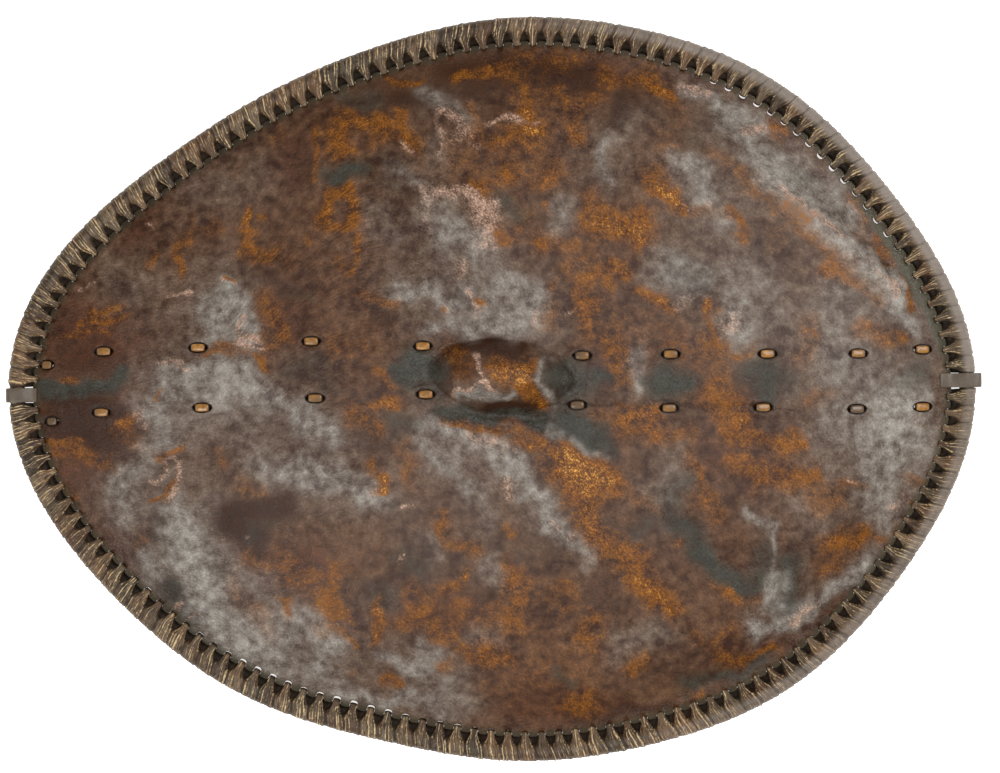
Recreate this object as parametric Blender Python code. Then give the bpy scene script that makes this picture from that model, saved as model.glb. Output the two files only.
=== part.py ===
"""An oval hide shield, lying on its back.

A domed sheet of thick hide is laced to a wrapped rim. Ten thongs along the middle hold a bowed staff against the
back, and a boss pressed out of the hide clears the hand that grips the staff. The boss is parted from the rest of
the hide at its foot, so that the space for the fingers under it stays open to collision.

Metres, +Z up. +X runs to the broad end, +Z comes out of the front. The origin is under the middle of the shield,
on the surface that the rim rests on.
"""

import math

import bmesh
import bpy
from mathutils import Vector
from mathutils.bvhtree import BVHTree

MM = 0.001

# ---------------------------------------------------------------- driving dimensions

# How far the outside of the rim lies from the centre, every 20 degrees from the broad end.
RIM_REACH_MM = (446, 420, 394, 369, 349, 337, 340, 364, 416, 449, 417, 380, 352, 340, 349, 369, 397, 423)
RIM_REACH = [reach * MM for reach in RIM_REACH_MM]
BROAD_REACH = RIM_REACH[0]
NARROW_REACH = RIM_REACH[len(RIM_REACH) // 2]

STITCHES = 148  # turns of the lacing round the whole rim, half of them on each side
ROLL_RADIUS = 8.75 * MM  # the wrapped roll, measured across its flats
ROLL_SIDES = 8
PINCH_RADIUS = 7.4 * MM  # the roll where an end strap pulls it in
PINCH_HEIGHT = 9.6 * MM  # the middle of the roll there, above the ground
NECK_INSET = 28.0 * MM  # where a stitch goes into its hole, in from the outside of the rim
NECK_HALF_WIDTH = 3.0 * MM
NECK_HEIGHT = 9.5 * MM

HIDE_THICKNESS = 4.0 * MM
EDGE_INSET = 23.5 * MM  # the hide's edge between two stitches, in from the outside of the rim
EDGE_HEIGHT = 11.5 * MM  # the front of the hide at its edge, above the ground
NOTCH_GAP = 0.4 * MM  # room round a stitch in its notch
CROWN = 62.0 * MM  # rise of the dome above the hide's edge
DOME_POWER = 3.0
RING_INSETS = (34.0 * MM, 46.0 * MM, 62.0 * MM)  # rings of the hide with all, half and a quarter of the stitches
DOME_RINGS = 7  # rings from there to the foot of the boss

# The trough beside the lacing, and how strong it is at the broad end and at the narrow end.
TROUGH_START = 26.0 * MM
TROUGH_END = 78.0 * MM
TROUGH_BROAD = 0.85
TROUGH_NARROW = 0.15

BOSS_CENTRE = (7.6 * MM, 12.2 * MM)
BOSS_TURN = math.radians(-4.8)
BOSS_HALF_LENGTH = 68.0 * MM
BOSS_HALF_WIDTH = 35.0 * MM
BOSS_POINT = 0.3  # how far the foot of the boss is drawn to a point at each end
BOSS_RISE = 27.0 * MM
BOSS_SIDE_SLOPE = 1.05
BOSS_NARROW_SLOPE = 0.62
BOSS_BROAD_SLOPE = 1.25
BOSS_SOFTNESS = 3.0 * MM  # rounding of the boss's ridge and hips
BOSS_RINGS = (0.988, 0.72, 0.42)  # lenses inside the foot; the first leaves the parting gap all round

# Broad waves in the hide: x, y, half-length, half-width (mm), direction (degrees), height (mm).
WAVES = (
    (318, 132, 105, 26, -43, 5.0),  # crest beside the broad end's upper rim
    (312, 205, 60, 28, -43, -4.0),  # hollow outside that crest
    (300, -196, 90, 30, 38, 4.0),  # shoulder at the broad end's lower rim
    (232, -170, 60, 26, -48, -4.0),
    (10, -92, 110, 26, -39, 4.5),  # fold running down from the boss
    (128, -92, 100, 26, -38, -3.5),
    (-20, 195, 90, 34, -62, 4.0),  # fold running up from the boss
    (96, 150, 70, 32, -75, -3.0),
    (175, 170, 80, 30, -60, 3.0),
    (-245, 62, 55, 26, 90, 3.0),
    (-262, -92, 75, 32, 62, 4.5),  # bulge at the lower narrow end
    (-180, -100, 70, 34, 75, -4.5),
    (-300, -160, 60, 26, -38, 3.0),
    (-120, -215, 70, 30, 12, 3.0),
    (-105, 110, 60, 34, 80, -3.0),
)

# The line of the staff: x, y (mm).
STAFF_LINE = ((-446, 1.5), (-350, 12.5), (-260, 16.0), (-165, 20.0), (-64, 18.5), (80, 7.0), (250, 4.0), (446, 1.5))
# The staff itself: x, width, depth (mm).
STAFF_SIZES = (
    (-420, 8, 5.5),
    (-385, 10, 8),
    (-310, 13, 11),
    (-230, 15, 13),
    (-150, 16, 14),
    (-64, 18, 17),
    (-25, 22, 21),
    (10, 23, 22),
    (45, 22, 21),
    (84, 18, 17),
    (165, 16, 14),
    (250, 15, 13),
    (335, 12, 10),
    (380, 10, 8),
    (408, 8, 6),
)
STAFF_BAND_RISE = 2.5 * MM  # the hide stands up over the staff
STAFF_BAND_HALF = 24.0 * MM
STAFF_SIDES = 8
STAFF_SHARES = (-0.9, -0.45, 0.0, 0.45, 0.9)  # of its half width: where the stick must clear the hide

# The thong ties: x and y of the bar in the upper row, x and y of the bar in the lower row (mm).
TIES = (
    (-412, 29.0, -408, -23.0),
    (-358, 40.5, -361, -15.5),
    (-270, 42.5, -267, -12.5),
    (-166, 46.5, -163, -5.5),
    (-64, 40.5, -62, -3.5),
    (81, 29.5, 76, -15.5),
    (162, 29.5, 160, -19.5),
    (251, 28.5, 246, -20.5),
    (335, 27.5, 333, -23.5),
    (396, 30.5, 395, -22.5),
)
BAR_ROWS = (1.0, -1.0)  # the upper row of bars and the lower row
TIE_HALF_LENGTH = 5.8 * MM
TIE_END_HALF_LENGTH = 4.0 * MM  # the shorter bars of the tie at the narrow end
THONG_THICKNESS = 3.0 * MM
THONG_WIDTH = 4.4 * MM
BAR_WIDTH = 8.0 * MM
BAR_ARCH = 0.8 * MM
BAR_END_WIDTH = 0.72  # width of a bar's ends, as a share of its middle
RUN_TURN = 0.8  # where a run bends round the staff, as a share of the staff's half width
HOLE_HALF_LENGTH = 2.5 * MM
HOLE_SHIFT = 0.7 * MM  # the holes open a little beyond the ends of their bar
HOLE_HALF_WIDTH = 3.6 * MM

STRAP_HALF_WIDTH = 6.6 * MM
STRAP_THICKNESS = 1.5 * MM
STRAP_LINE_Y = 1.5 * MM
STRAP_REACH = 450.6 * MM  # the outer face of both straps, from the centre
STRAP_SIDE = (4.0 * MM, 15.0 * MM)  # the outer side of a strap stands upright between these heights
STRAP_SHOULDER = 3.0 * MM  # how far in from its outer side a strap is level
STRAP_TOP_END = 4.0 * MM  # its top starts to slope down this far before the inside of the roll
STRAP_FLOOR_GAP = 0.2 * MM
# Where each strap goes down through the hide, and how much of the hide is cut away for it, as insets.
BROAD_STRAP = {"leg": 34.2 * MM, "slot": (32.6 * MM, 35.8 * MM)}
NARROW_STRAP = {"leg": 26.4 * MM, "slot": (15.0 * MM, 28.0 * MM)}

GAP = 0.35 * MM  # between pieces that touch
CUT_DEPTH = 30.0 * MM  # height of the cutters that pierce the hide


# ---------------------------------------------------------------- the outline


def outline_waves(reaches):
    """Cosine and sine parts of the outline, which passes through every given reach."""
    count = len(reaches)
    waves = []
    for order in range(count // 2 + 1):
        share = (1.0 if order in (0, count // 2) else 2.0) / count
        turns = [2 * math.pi * order * place / count for place in range(count)]
        cosine = share * sum(reach * math.cos(turn) for reach, turn in zip(reaches, turns))
        sine = share * sum(reach * math.sin(turn) for reach, turn in zip(reaches, turns))
        waves.append((cosine, sine))
    return waves


OUTLINE = outline_waves(RIM_REACH)


def rim_reach(angle):
    """Distance from the centre to the outside of the rim, and how fast it changes with the angle."""
    reach = 0.0
    change = 0.0
    for order, (cosine, sine) in enumerate(OUTLINE):
        reach += cosine * math.cos(order * angle) + sine * math.sin(order * angle)
        change += order * (sine * math.cos(order * angle) - cosine * math.sin(order * angle))
    return reach, change


def rim_point(angle):
    """The outside of the rim and its outward direction, at an angle round the centre."""
    reach, change = rim_reach(angle)
    out = Vector((math.cos(angle), math.sin(angle), 0.0))
    side = Vector((-math.sin(angle), math.cos(angle), 0.0))
    along = out * change + side * reach
    return out * reach, Vector((along.y, -along.x, 0.0)).normalized()


def arc_table(start, end, pieces=720):
    """Angles from start to end, each with its distance along the outside of the rim."""
    table = []
    walked = 0.0
    last = rim_point(start)[0]
    for piece in range(pieces + 1):
        angle = start + (end - start) * piece / pieces
        here = rim_point(angle)[0]
        walked += (here - last).length
        table.append((walked, angle))
        last = here
    return table


BROAD_ANGLE = math.asin(STRAP_LINE_Y / rim_reach(0.0)[0])
NARROW_ANGLE = math.pi - math.asin(STRAP_LINE_Y / rim_reach(math.pi)[0])
UPPER_ARC = arc_table(BROAD_ANGLE, NARROW_ANGLE)
LOWER_ARC = arc_table(NARROW_ANGLE, BROAD_ANGLE + 2 * math.pi)


def rim_station(step, inset, height):
    """A point at a stitch's place along the rim, in from its outside and above the ground."""
    half = STITCHES / 2
    step = step % STITCHES
    table, share = (UPPER_ARC, step / half) if step < half else (LOWER_ARC, step / half - 1.0)
    wanted = share * table[-1][0]
    low = 0
    high = len(table) - 1
    while high - low > 1:
        middle = (low + high) // 2
        if table[middle][0] <= wanted:
            low = middle
        else:
            high = middle
    span = table[high][0] - table[low][0]
    angle = table[low][1] + (table[high][1] - table[low][1]) * (wanted - table[low][0]) / span
    point, outward = rim_point(angle)
    return point - outward * inset + Vector((0.0, 0.0, height))


def is_strap(stitch):
    """Whether an end strap takes the place of this stitch."""
    return stitch % (STITCHES // 2) == 0


# ---------------------------------------------------------------- the surface of the hide


def smooth_step(low, high, value):
    share = min(1.0, max(0.0, (value - low) / (high - low)))
    return share * share * (3.0 - 2.0 * share)


def smooth_line(stations, x, column=1):
    """A column of a table of stations, read at x along a smooth curve through them."""
    xs = [station[0] * MM for station in stations]
    ys = [station[column] * MM for station in stations]
    x = min(max(x, xs[0]), xs[-1])
    left = 0
    while left < len(xs) - 2 and x > xs[left + 1]:
        left += 1

    def slope(index):
        before = max(index - 1, 0)
        after = min(index + 1, len(xs) - 1)
        return (ys[after] - ys[before]) / (xs[after] - xs[before])

    span = xs[left + 1] - xs[left]
    share = (x - xs[left]) / span
    rise = share * share * (3.0 - 2.0 * share)
    from_left = share * (1.0 - share) ** 2 * slope(left) * span
    from_right = share * share * (share - 1.0) * slope(left + 1) * span
    return ys[left] * (1.0 - rise) + ys[left + 1] * rise + from_left + from_right


def straight_line(stations, x):
    """A two-column table of stations in metres, read at x along straight lines."""
    for (left_x, left_y), (right_x, right_y) in zip(stations, stations[1:]):
        if x <= right_x:
            break
    share = min(1.0, max(0.0, (x - left_x) / (right_x - left_x)))
    return left_y + (right_y - left_y) * share


def soft_min(values, softness):
    """The least of some values, with the corner between them rounded."""
    least = min(values)
    total = sum(math.exp((least - value) / softness) for value in values)
    return least - softness * math.log(total)


def boss_frame(x, y):
    """Place along and across the boss, from its middle."""
    along = x - BOSS_CENTRE[0]
    across = y - BOSS_CENTRE[1]
    cosine = math.cos(BOSS_TURN)
    sine = math.sin(BOSS_TURN)
    return along * cosine + across * sine, across * cosine - along * sine


def boss_foot(turn, share=1.0):
    """A point on the lens-shaped foot of the boss, or on a smaller lens inside it."""
    along = BOSS_HALF_LENGTH * share * math.cos(turn)
    across = BOSS_HALF_WIDTH * share * math.sin(turn) * abs(math.sin(turn)) ** BOSS_POINT
    cosine = math.cos(BOSS_TURN)
    sine = math.sin(BOSS_TURN)
    x = BOSS_CENTRE[0] + along * cosine - across * sine
    y = BOSS_CENTRE[1] + along * sine + across * cosine
    return x, y


def boss_rise(x, y):
    """Height of the boss over the dome: a hipped loaf, with its narrow-end hip drawn out."""
    along, across = boss_frame(x, y)
    inside = 1.0 - (along / BOSS_HALF_LENGTH) ** 2
    if inside <= 0.0:
        return 0.0
    half_width = BOSS_HALF_WIDTH * math.sqrt(inside) ** (1.0 + BOSS_POINT)
    slopes = (
        BOSS_SIDE_SLOPE * (half_width - abs(across)),
        BOSS_NARROW_SLOPE * (along + BOSS_HALF_LENGTH),
        BOSS_BROAD_SLOPE * (BOSS_HALF_LENGTH - along),
        BOSS_RISE,
    )
    return max(0.0, soft_min(slopes, BOSS_SOFTNESS))


def wave_rise(x, y):
    """Height of the broad waves."""
    rise = 0.0
    for wave_x, wave_y, half_length, half_width, direction, height in WAVES:
        turn = math.radians(direction)
        east = x / MM - wave_x
        north = y / MM - wave_y
        along = (east * math.cos(turn) + north * math.sin(turn)) / half_length
        across = (north * math.cos(turn) - east * math.sin(turn)) / half_width
        rise += height * math.exp(-(along**2) - across**2)
    return rise * MM


def dome_height(x, y):
    """Front of the hide above the ground, without the boss."""
    angle = math.atan2(y, x)
    reach, change = rim_reach(angle)
    radius = math.hypot(x, y)
    inset = (reach - radius) * reach / math.hypot(reach, change)
    share = min(1.0, radius / (reach - EDGE_INSET))
    from_staff = (y - smooth_line(STAFF_LINE, x)) / STAFF_BAND_HALF
    off_staff = 1.0 - math.exp(-(from_staff**2))
    broadness = 0.5 + 0.5 * math.cos(angle)
    trough = (TROUGH_NARROW + (TROUGH_BROAD - TROUGH_NARROW) * broadness) * off_staff
    lift = 1.0 - trough * (1.0 - smooth_step(TROUGH_START, TROUGH_END, inset))
    inland = smooth_step(EDGE_INSET, TROUGH_END, inset)
    band = STAFF_BAND_RISE / (1.0 + from_staff**6) * smooth_step(EDGE_INSET, RING_INSETS[1], inset)
    return EDGE_HEIGHT + CROWN * (1.0 - share**DOME_POWER) * lift + band + wave_rise(x, y) * inland


def front_height(x, y):
    return dome_height(x, y) + boss_rise(x, y)


def back_height(x, y):
    """Back of the hide: its thickness is kept square to the slope."""
    step = 2.0 * MM
    slope_x = (front_height(x + step, y) - front_height(x - step, y)) / (2 * step)
    slope_y = (front_height(x, y + step) - front_height(x, y - step)) / (2 * step)
    return front_height(x, y) - HIDE_THICKNESS * math.sqrt(1.0 + slope_x**2 + slope_y**2)


# ---------------------------------------------------------------- making objects


def clear_scene():
    for scene_object in list(bpy.data.objects):
        bpy.data.objects.remove(scene_object)


def finish_material(name, colour, roughness):
    material = bpy.data.materials.new(name)
    material.use_nodes = True
    shader = material.node_tree.nodes["Principled BSDF"]
    shader.inputs["Base Color"].default_value = (*colour, 1.0)
    shader.inputs["Roughness"].default_value = roughness
    shader.inputs["Metallic"].default_value = 0.0
    return material


def add_object(name, shape, material, smooth_degrees=None):
    """A named object from a bmesh whose faces are turned outwards."""
    bmesh.ops.recalc_face_normals(shape, faces=shape.faces)
    mesh = bpy.data.meshes.new(name)
    shape.to_mesh(mesh)
    shape.free()
    mesh.materials.append(material)
    if smooth_degrees is not None:
        mesh.shade_smooth()
        mesh.set_sharp_from_angle(angle=math.radians(smooth_degrees))
    piece = bpy.data.objects.new(name, mesh)
    bpy.context.collection.objects.link(piece)
    return piece


def add_ring(shape, points):
    return [shape.verts.new(point) for point in points]


def bridge(shape, first, second):
    """Quads between two closed rings with the same number of points."""
    for index in range(len(first)):
        after = (index + 1) % len(first)
        shape.faces.new((first[index], first[after], second[after], second[index]))


def bridge_halving(shape, first, second):
    """Triangles between a closed ring and one with half as many points."""
    for index in range(len(second)):
        after = (index + 1) % len(second)
        start, middle, end = first[2 * index], first[2 * index + 1], first[(2 * index + 2) % len(first)]
        shape.faces.new((start, middle, second[index]))
        shape.faces.new((middle, second[after], second[index]))
        shape.faces.new((middle, end, second[after]))


# ---------------------------------------------------------------- the hide


def hide_rings():
    """Rings of x, y from the notched edge to the foot of the boss, and rings from there to its middle."""
    pitch = (UPPER_ARC[-1][0] + LOWER_ARC[-1][0]) / STITCHES
    notch = (NECK_HALF_WIDTH + NOTCH_GAP) / pitch
    edge = []
    for stitch in range(STITCHES):
        depth = EDGE_INSET if is_strap(stitch) else NECK_INSET + NOTCH_GAP
        edge.append(rim_station(stitch - notch, depth, 0.0))
        edge.append(rim_station(stitch + notch, depth, 0.0))
        edge.append(rim_station(stitch + 0.5, EDGE_INSET, 0.0))
    rings = [edge]
    for level, inset in enumerate(RING_INSETS):
        stride = 2**level
        rings.append([rim_station(stitch, inset, 0.0) for stitch in range(0, STITCHES, stride)])
    outer = rings[-1]
    aspect = max(point.x for point in outer) / max(point.y for point in outer)
    turns = [
        math.atan2((point.y - BOSS_CENTRE[1]) * aspect, point.x - BOSS_CENTRE[0]) - BOSS_TURN for point in outer
    ]
    foot = [Vector((*boss_foot(turn), 0.0)) for turn in turns]
    for ring in range(1, DOME_RINGS):
        share = ring / DOME_RINGS
        rings.append([point.lerp(end, share) for point, end in zip(outer, foot)])
    rings.append(foot)
    boss_rings = [[Vector((*boss_foot(turn, share), 0.0)) for turn in turns] for share in BOSS_RINGS]
    return rings, boss_rings


def raise_rings(shape, rings, height_at):
    return [add_ring(shape, [(point.x, point.y, height_at(point.x, point.y)) for point in ring]) for ring in rings]


def add_hide_side(shape, rings, height_at):
    """One face of the hide outside the boss; gives back its outer and inner edge."""
    raised = raise_rings(shape, rings, height_at)
    edge, lacing = raised[0], raised[1]
    for stitch in range(STITCHES):
        after = (stitch + 1) % STITCHES
        left, right, peak = edge[3 * stitch : 3 * stitch + 3]
        next_left = edge[3 * after]
        shape.faces.new((left, right, lacing[stitch]))
        shape.faces.new((right, peak, lacing[stitch]))
        shape.faces.new((peak, lacing[after], lacing[stitch]))
        shape.faces.new((peak, next_left, lacing[after]))
    bridge_halving(shape, raised[1], raised[2])
    bridge_halving(shape, raised[2], raised[3])
    for outer, inner in zip(raised[3:], raised[4:]):
        bridge(shape, outer, inner)
    return edge, raised[-1]


def add_boss_side(shape, rings, height_at):
    """One face of the boss; gives back its edge."""
    raised = raise_rings(shape, rings, height_at)
    for outer, inner in zip(raised, raised[1:]):
        bridge(shape, outer, inner)
    top = shape.verts.new((*BOSS_CENTRE, height_at(*BOSS_CENTRE)))
    last = raised[-1]
    for index in range(len(last)):
        shape.faces.new((last[index], last[(index + 1) % len(last)], top))
    return raised[0]


def add_cutter(shape, low, high):
    middle = [(a + b) / 2 for a, b in zip(low, high)]
    size = [b - a for a, b in zip(low, high)]
    made = bmesh.ops.create_cube(shape, size=1.0)["verts"]
    bmesh.ops.scale(shape, vec=size, verts=made)
    bmesh.ops.translate(shape, vec=middle, verts=made)


def tie_bars(tie):
    """The two bars of a tie: x, y and half-length of each, upper row first."""
    upper_x, upper_y, lower_x, lower_y = [value * MM for value in tie]
    half = TIE_END_HALF_LENGTH if tie is TIES[0] else TIE_HALF_LENGTH
    return ((upper_x, upper_y, half), (lower_x, lower_y, half))


def add_holes(hide):
    """Holes for the legs of the ties, and slots for the end straps."""
    shape = bmesh.new()
    for tie in TIES:
        for bar_x, bar_y, half in tie_bars(tie):
            level = front_height(bar_x, bar_y)
            for side in (-1.0, 1.0):
                hole_x = bar_x + side * (half + HOLE_SHIFT)
                low = (hole_x - HOLE_HALF_LENGTH, bar_y - HOLE_HALF_WIDTH, level - CUT_DEPTH / 2)
                high = (hole_x + HOLE_HALF_LENGTH, bar_y + HOLE_HALF_WIDTH, level + CUT_DEPTH / 2)
                add_cutter(shape, low, high)
    for side, strap, reach in ((1.0, BROAD_STRAP, BROAD_REACH), (-1.0, NARROW_STRAP, NARROW_REACH)):
        ends = sorted(side * (reach - inset) for inset in strap["slot"])
        half = STRAP_HALF_WIDTH + 2 * GAP
        low = (ends[0], STRAP_LINE_Y - half, EDGE_HEIGHT - CUT_DEPTH / 2)
        high = (ends[1], STRAP_LINE_Y + half, EDGE_HEIGHT + CUT_DEPTH / 2)
        add_cutter(shape, low, high)
    mesh = bpy.data.meshes.new("hide_holes")
    shape.to_mesh(mesh)
    shape.free()
    cutter = bpy.data.objects.new("hide_holes", mesh)
    cutter.hide_render = True
    cutter.display_type = "WIRE"
    bpy.context.collection.objects.link(cutter)
    holes = hide.modifiers.new("holes", "BOOLEAN")
    holes.operation = "DIFFERENCE"
    holes.object = cutter


def make_hide(material):
    """The hide and its boss; gives back the surface of the hide outside the boss."""
    rings, boss_rings = hide_rings()
    shape = bmesh.new()
    front_edge, front_foot = add_hide_side(shape, rings, front_height)
    back_edge, back_foot = add_hide_side(shape, rings, back_height)
    bridge(shape, front_edge, back_edge)
    bridge(shape, front_foot, back_foot)
    surface = BVHTree.FromBMesh(shape)
    hide = add_object("hide", shape, material, smooth_degrees=50)
    add_holes(hide)
    boss = bmesh.new()
    bridge(boss, add_boss_side(boss, boss_rings, front_height), add_boss_side(boss, boss_rings, back_height))
    add_object("hide_boss", boss, material, smooth_degrees=50)
    return surface


def front_at(surface, x, y):
    """Height of the hide's faceted front, met from above."""
    return surface.ray_cast(Vector((x, y, 1.0)), Vector((0.0, 0.0, -1.0)))[0].z


def back_at(surface, x, y):
    """Height of the hide's faceted back, met from below."""
    return surface.ray_cast(Vector((x, y, -1.0)), Vector((0.0, 0.0, 1.0)))[0].z


# ---------------------------------------------------------------- the wrapped rim


def make_rim_binding(material):
    """The roll, with each stitch drawn in to a narrow neck at its hole."""
    shape = bmesh.new()
    rings = []
    for stitch in range(STITCHES):
        step = stitch + 0.5
        pinched = is_strap(stitch) or is_strap(stitch + 1)
        radius = PINCH_RADIUS if pinched else ROLL_RADIUS
        height = PINCH_HEIGHT if pinched else ROLL_RADIUS
        corner_radius = radius / math.cos(math.pi / ROLL_SIDES)
        ring = []
        for corner in range(ROLL_SIDES):
            turn = 2 * math.pi * (corner + 0.5) / ROLL_SIDES
            inset = ROLL_RADIUS + corner_radius * math.cos(turn)
            ring.append(rim_station(step, inset, height + corner_radius * math.sin(turn)))
        rings.append(add_ring(shape, ring))
    pitch = (UPPER_ARC[-1][0] + LOWER_ARC[-1][0]) / STITCHES
    neck = NECK_HALF_WIDTH / pitch
    inner = ROLL_SIDES - 1  # the side that faces the hide lies between the last corner and the first
    for stitch in range(STITCHES):
        before = rings[stitch - 1]
        after = rings[stitch]
        for corner in range(ROLL_SIDES - 1):
            shape.faces.new((before[corner], after[corner], after[corner + 1], before[corner + 1]))
        if is_strap(stitch):
            shape.faces.new((before[inner], after[inner], after[0], before[0]))
            continue
        start = shape.verts.new(rim_station(stitch - neck, NECK_INSET, NECK_HEIGHT))
        end = shape.verts.new(rim_station(stitch + neck, NECK_INSET, NECK_HEIGHT))
        shape.faces.new((before[0], after[0], end, start))
        shape.faces.new((before[inner], after[inner], end, start))
        shape.faces.new((before[inner], before[0], start))
        shape.faces.new((after[inner], after[0], end))
    add_object("rim_binding", shape, material, smooth_degrees=40)


# ---------------------------------------------------------------- the staff


def make_staff(surface, material):
    """An eight-sided stick that follows the inside of the dome; gives back its underside's height."""
    shape = bmesh.new()
    rings = []
    undersides = []
    for station in STAFF_SIZES:
        x = station[0] * MM
        y = smooth_line(STAFF_LINE, x)
        half_width = station[1] * MM / 2
        depth = station[2] * MM
        in_boss = boss_rise(x, y) > 0.0
        places = [y + half_width * share for share in STAFF_SHARES]
        if in_boss:
            top = min(dome_height(x, place) for place in places) - HIDE_THICKNESS - GAP
        else:
            top = min(back_at(surface, x, place) for place in places) - GAP
        middle = top - depth / 2
        stretch = 1.0 / math.cos(math.pi / STAFF_SIDES)
        ring = []
        for corner in range(STAFF_SIDES):
            turn = 2 * math.pi * (corner + 0.5) / STAFF_SIDES
            ring.append((x, y + half_width * stretch * math.cos(turn), middle + depth / 2 * stretch * math.sin(turn)))
        rings.append(add_ring(shape, ring))
        undersides.append((x, top - depth))
    for before, after in zip(rings, rings[1:]):
        bridge(shape, before, after)
    shape.faces.new(rings[0])
    shape.faces.new(list(reversed(rings[-1])))
    add_object("staff", shape, material, smooth_degrees=30)
    return undersides


# ---------------------------------------------------------------- thongs and straps


def mitre(before, here, after):
    """Outward direction of a corner in a flat loop that runs clockwise, longer where the corner is sharper."""
    into = (here - before).normalized()
    out = (after - here).normalized()
    left_in = Vector((-into.y, into.x))
    left_out = Vector((-out.y, out.x))
    both = (left_in + left_out).normalized()
    return both / both.dot(left_out)


def add_loop(shape, sections):
    """A closed band from sections, each a middle and two half-size directions."""
    rings = []
    for middle, across, outward in sections:
        corners = (
            middle + across + outward,
            middle + across - outward,
            middle - across - outward,
            middle - across + outward,
        )
        rings.append(add_ring(shape, corners))
    for index in range(len(rings)):
        bridge(shape, rings[index - 1], rings[index])


def tie_run(surface, undersides, x, start_y, end_y):
    """Sections of one run behind the hide, from leg to leg round the staff."""
    line = smooth_line(STAFF_LINE, x)
    staff_half = smooth_line(STAFF_SIZES, x) / 2
    under = min(straight_line(undersides, x + shift * THONG_THICKNESS) for shift in (-1, 1))
    half = THONG_WIDTH / 2
    low = under - half - GAP
    towards = 1.0 if end_y > start_y else -1.0

    def below_hide(y):
        spots = [(x + east * HOLE_HALF_LENGTH, y + north * HOLE_HALF_WIDTH) for east in (-1, 1) for north in (-1, 1)]
        return min(back_at(surface, *spot) for spot in spots) - half - GAP

    path = [
        Vector((start_y, front_at(surface, x, start_y))),
        Vector((start_y, below_hide(start_y))),
        Vector((line - towards * RUN_TURN * staff_half, low)),
        Vector((line + towards * RUN_TURN * staff_half, low)),
        Vector((end_y, below_hide(end_y))),
        Vector((end_y, front_at(surface, x, end_y))),
    ]
    sections = []
    for before, here, after in zip(path, path[1:], path[2:]):
        out = mitre(before, here, after) * half * -towards
        sections.append((Vector((x, here.x, here.y)), Vector((0.0, out.x, out.y))))
    return sections


def make_tie(name, tie, surface, undersides, material):
    """One thong: two bars on the front, and two runs round the staff behind."""
    shape = bmesh.new()
    thick = THONG_THICKNESS / 2
    bars = tie_bars(tie)
    sections = []
    for side, (bar_x, bar_y, half), (far_x, far_y, _) in zip(BAR_ROWS, bars, reversed(bars)):
        outward = Vector((0.0, side, 0.0))
        bar = []
        for along in (-side, 0.0, side):
            spots = [(bar_x + along * half, bar_y + across * BAR_WIDTH / 2) for across in (-1, 0, 1)]
            arch = BAR_ARCH if along == 0.0 else 0.0
            level = max(front_at(surface, *spot) for spot in spots) + GAP + thick + arch
            half_width = BAR_WIDTH / 2 * (1.0 if along == 0.0 else BAR_END_WIDTH)
            out = Vector((along, 0.0, 1.0)) * thick
            bar.append((Vector((bar_x + along * half, bar_y, level)), outward * half_width, out))
        sections.extend(bar)
        run = tie_run(surface, undersides, bar_x + side * half, bar_y, far_y)
        for index, (middle, across) in enumerate(run):
            share = index / (len(run) - 1)
            shift = Vector(((far_x - bar_x) * share, 0.0, 0.0))
            sections.append((middle + shift, across, Vector((side * thick, 0.0, 0.0))))
    add_loop(shape, sections)
    add_object(name, shape, material, smooth_degrees=60)


def make_end_strap(name, side, reach, strap, surface, material):
    """A flat strap round the rim, down through the hide at its inner end."""
    half = STRAP_THICKNESS / 2
    outer = reach - STRAP_REACH + half
    inner = strap["leg"]
    top = PINCH_HEIGHT + PINCH_RADIUS + GAP + half
    low = half + STRAP_FLOOR_GAP
    beside = [front_at(surface, side * (reach - inset), STRAP_LINE_Y) for inset in (EDGE_INSET + MM, inner)]
    path = [
        Vector((outer, STRAP_SIDE[0])),
        Vector((outer, STRAP_SIDE[1])),
        Vector((outer + STRAP_SHOULDER, top)),
        Vector((2 * ROLL_RADIUS - STRAP_TOP_END, top)),
        Vector((EDGE_INSET, beside[0] + 2 * GAP + half)),
        Vector((inner, beside[1] + 2 * GAP + half)),
        Vector((inner, low)),
        Vector((outer + STRAP_SHOULDER, low)),
    ]
    shape = bmesh.new()
    sections = []
    for index, here in enumerate(path):
        out = mitre(path[index - 1], here, path[(index + 1) % len(path)]) * half
        middle = Vector((side * (reach - here.x), STRAP_LINE_Y, here.y))
        sections.append((middle, Vector((0.0, STRAP_HALF_WIDTH, 0.0)), Vector((-side * out.x, 0.0, out.y))))
    add_loop(shape, sections)
    add_object(name, shape, material, smooth_degrees=35)


# ---------------------------------------------------------------- the whole shield


def make_shield():
    clear_scene()
    hide_brown = finish_material("smoked_hide", (0.090, 0.045, 0.026), 0.42)
    lacing_brown = finish_material("rawhide_lacing", (0.130, 0.090, 0.055), 0.60)
    thong_tan = finish_material("thong", (0.330, 0.190, 0.080), 0.45)
    wood = finish_material("staff_wood", (0.230, 0.130, 0.065), 0.65)
    surface = make_hide(hide_brown)
    make_rim_binding(lacing_brown)
    undersides = make_staff(surface, wood)
    for number, tie in enumerate(TIES, start=1):
        make_tie(f"tie_{number:02d}", tie, surface, undersides, thong_tan)
    make_end_strap("end_strap_broad", 1.0, BROAD_REACH, BROAD_STRAP, surface, lacing_brown)
    make_end_strap("end_strap_narrow", -1.0, NARROW_REACH, NARROW_STRAP, surface, lacing_brown)


make_shield()
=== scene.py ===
"""An oval hide shield with a laced rim, lying front up on a pale floor and seen from straight above."""

import math
import random

import bpy
import numpy as np
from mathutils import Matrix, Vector, noise


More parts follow.
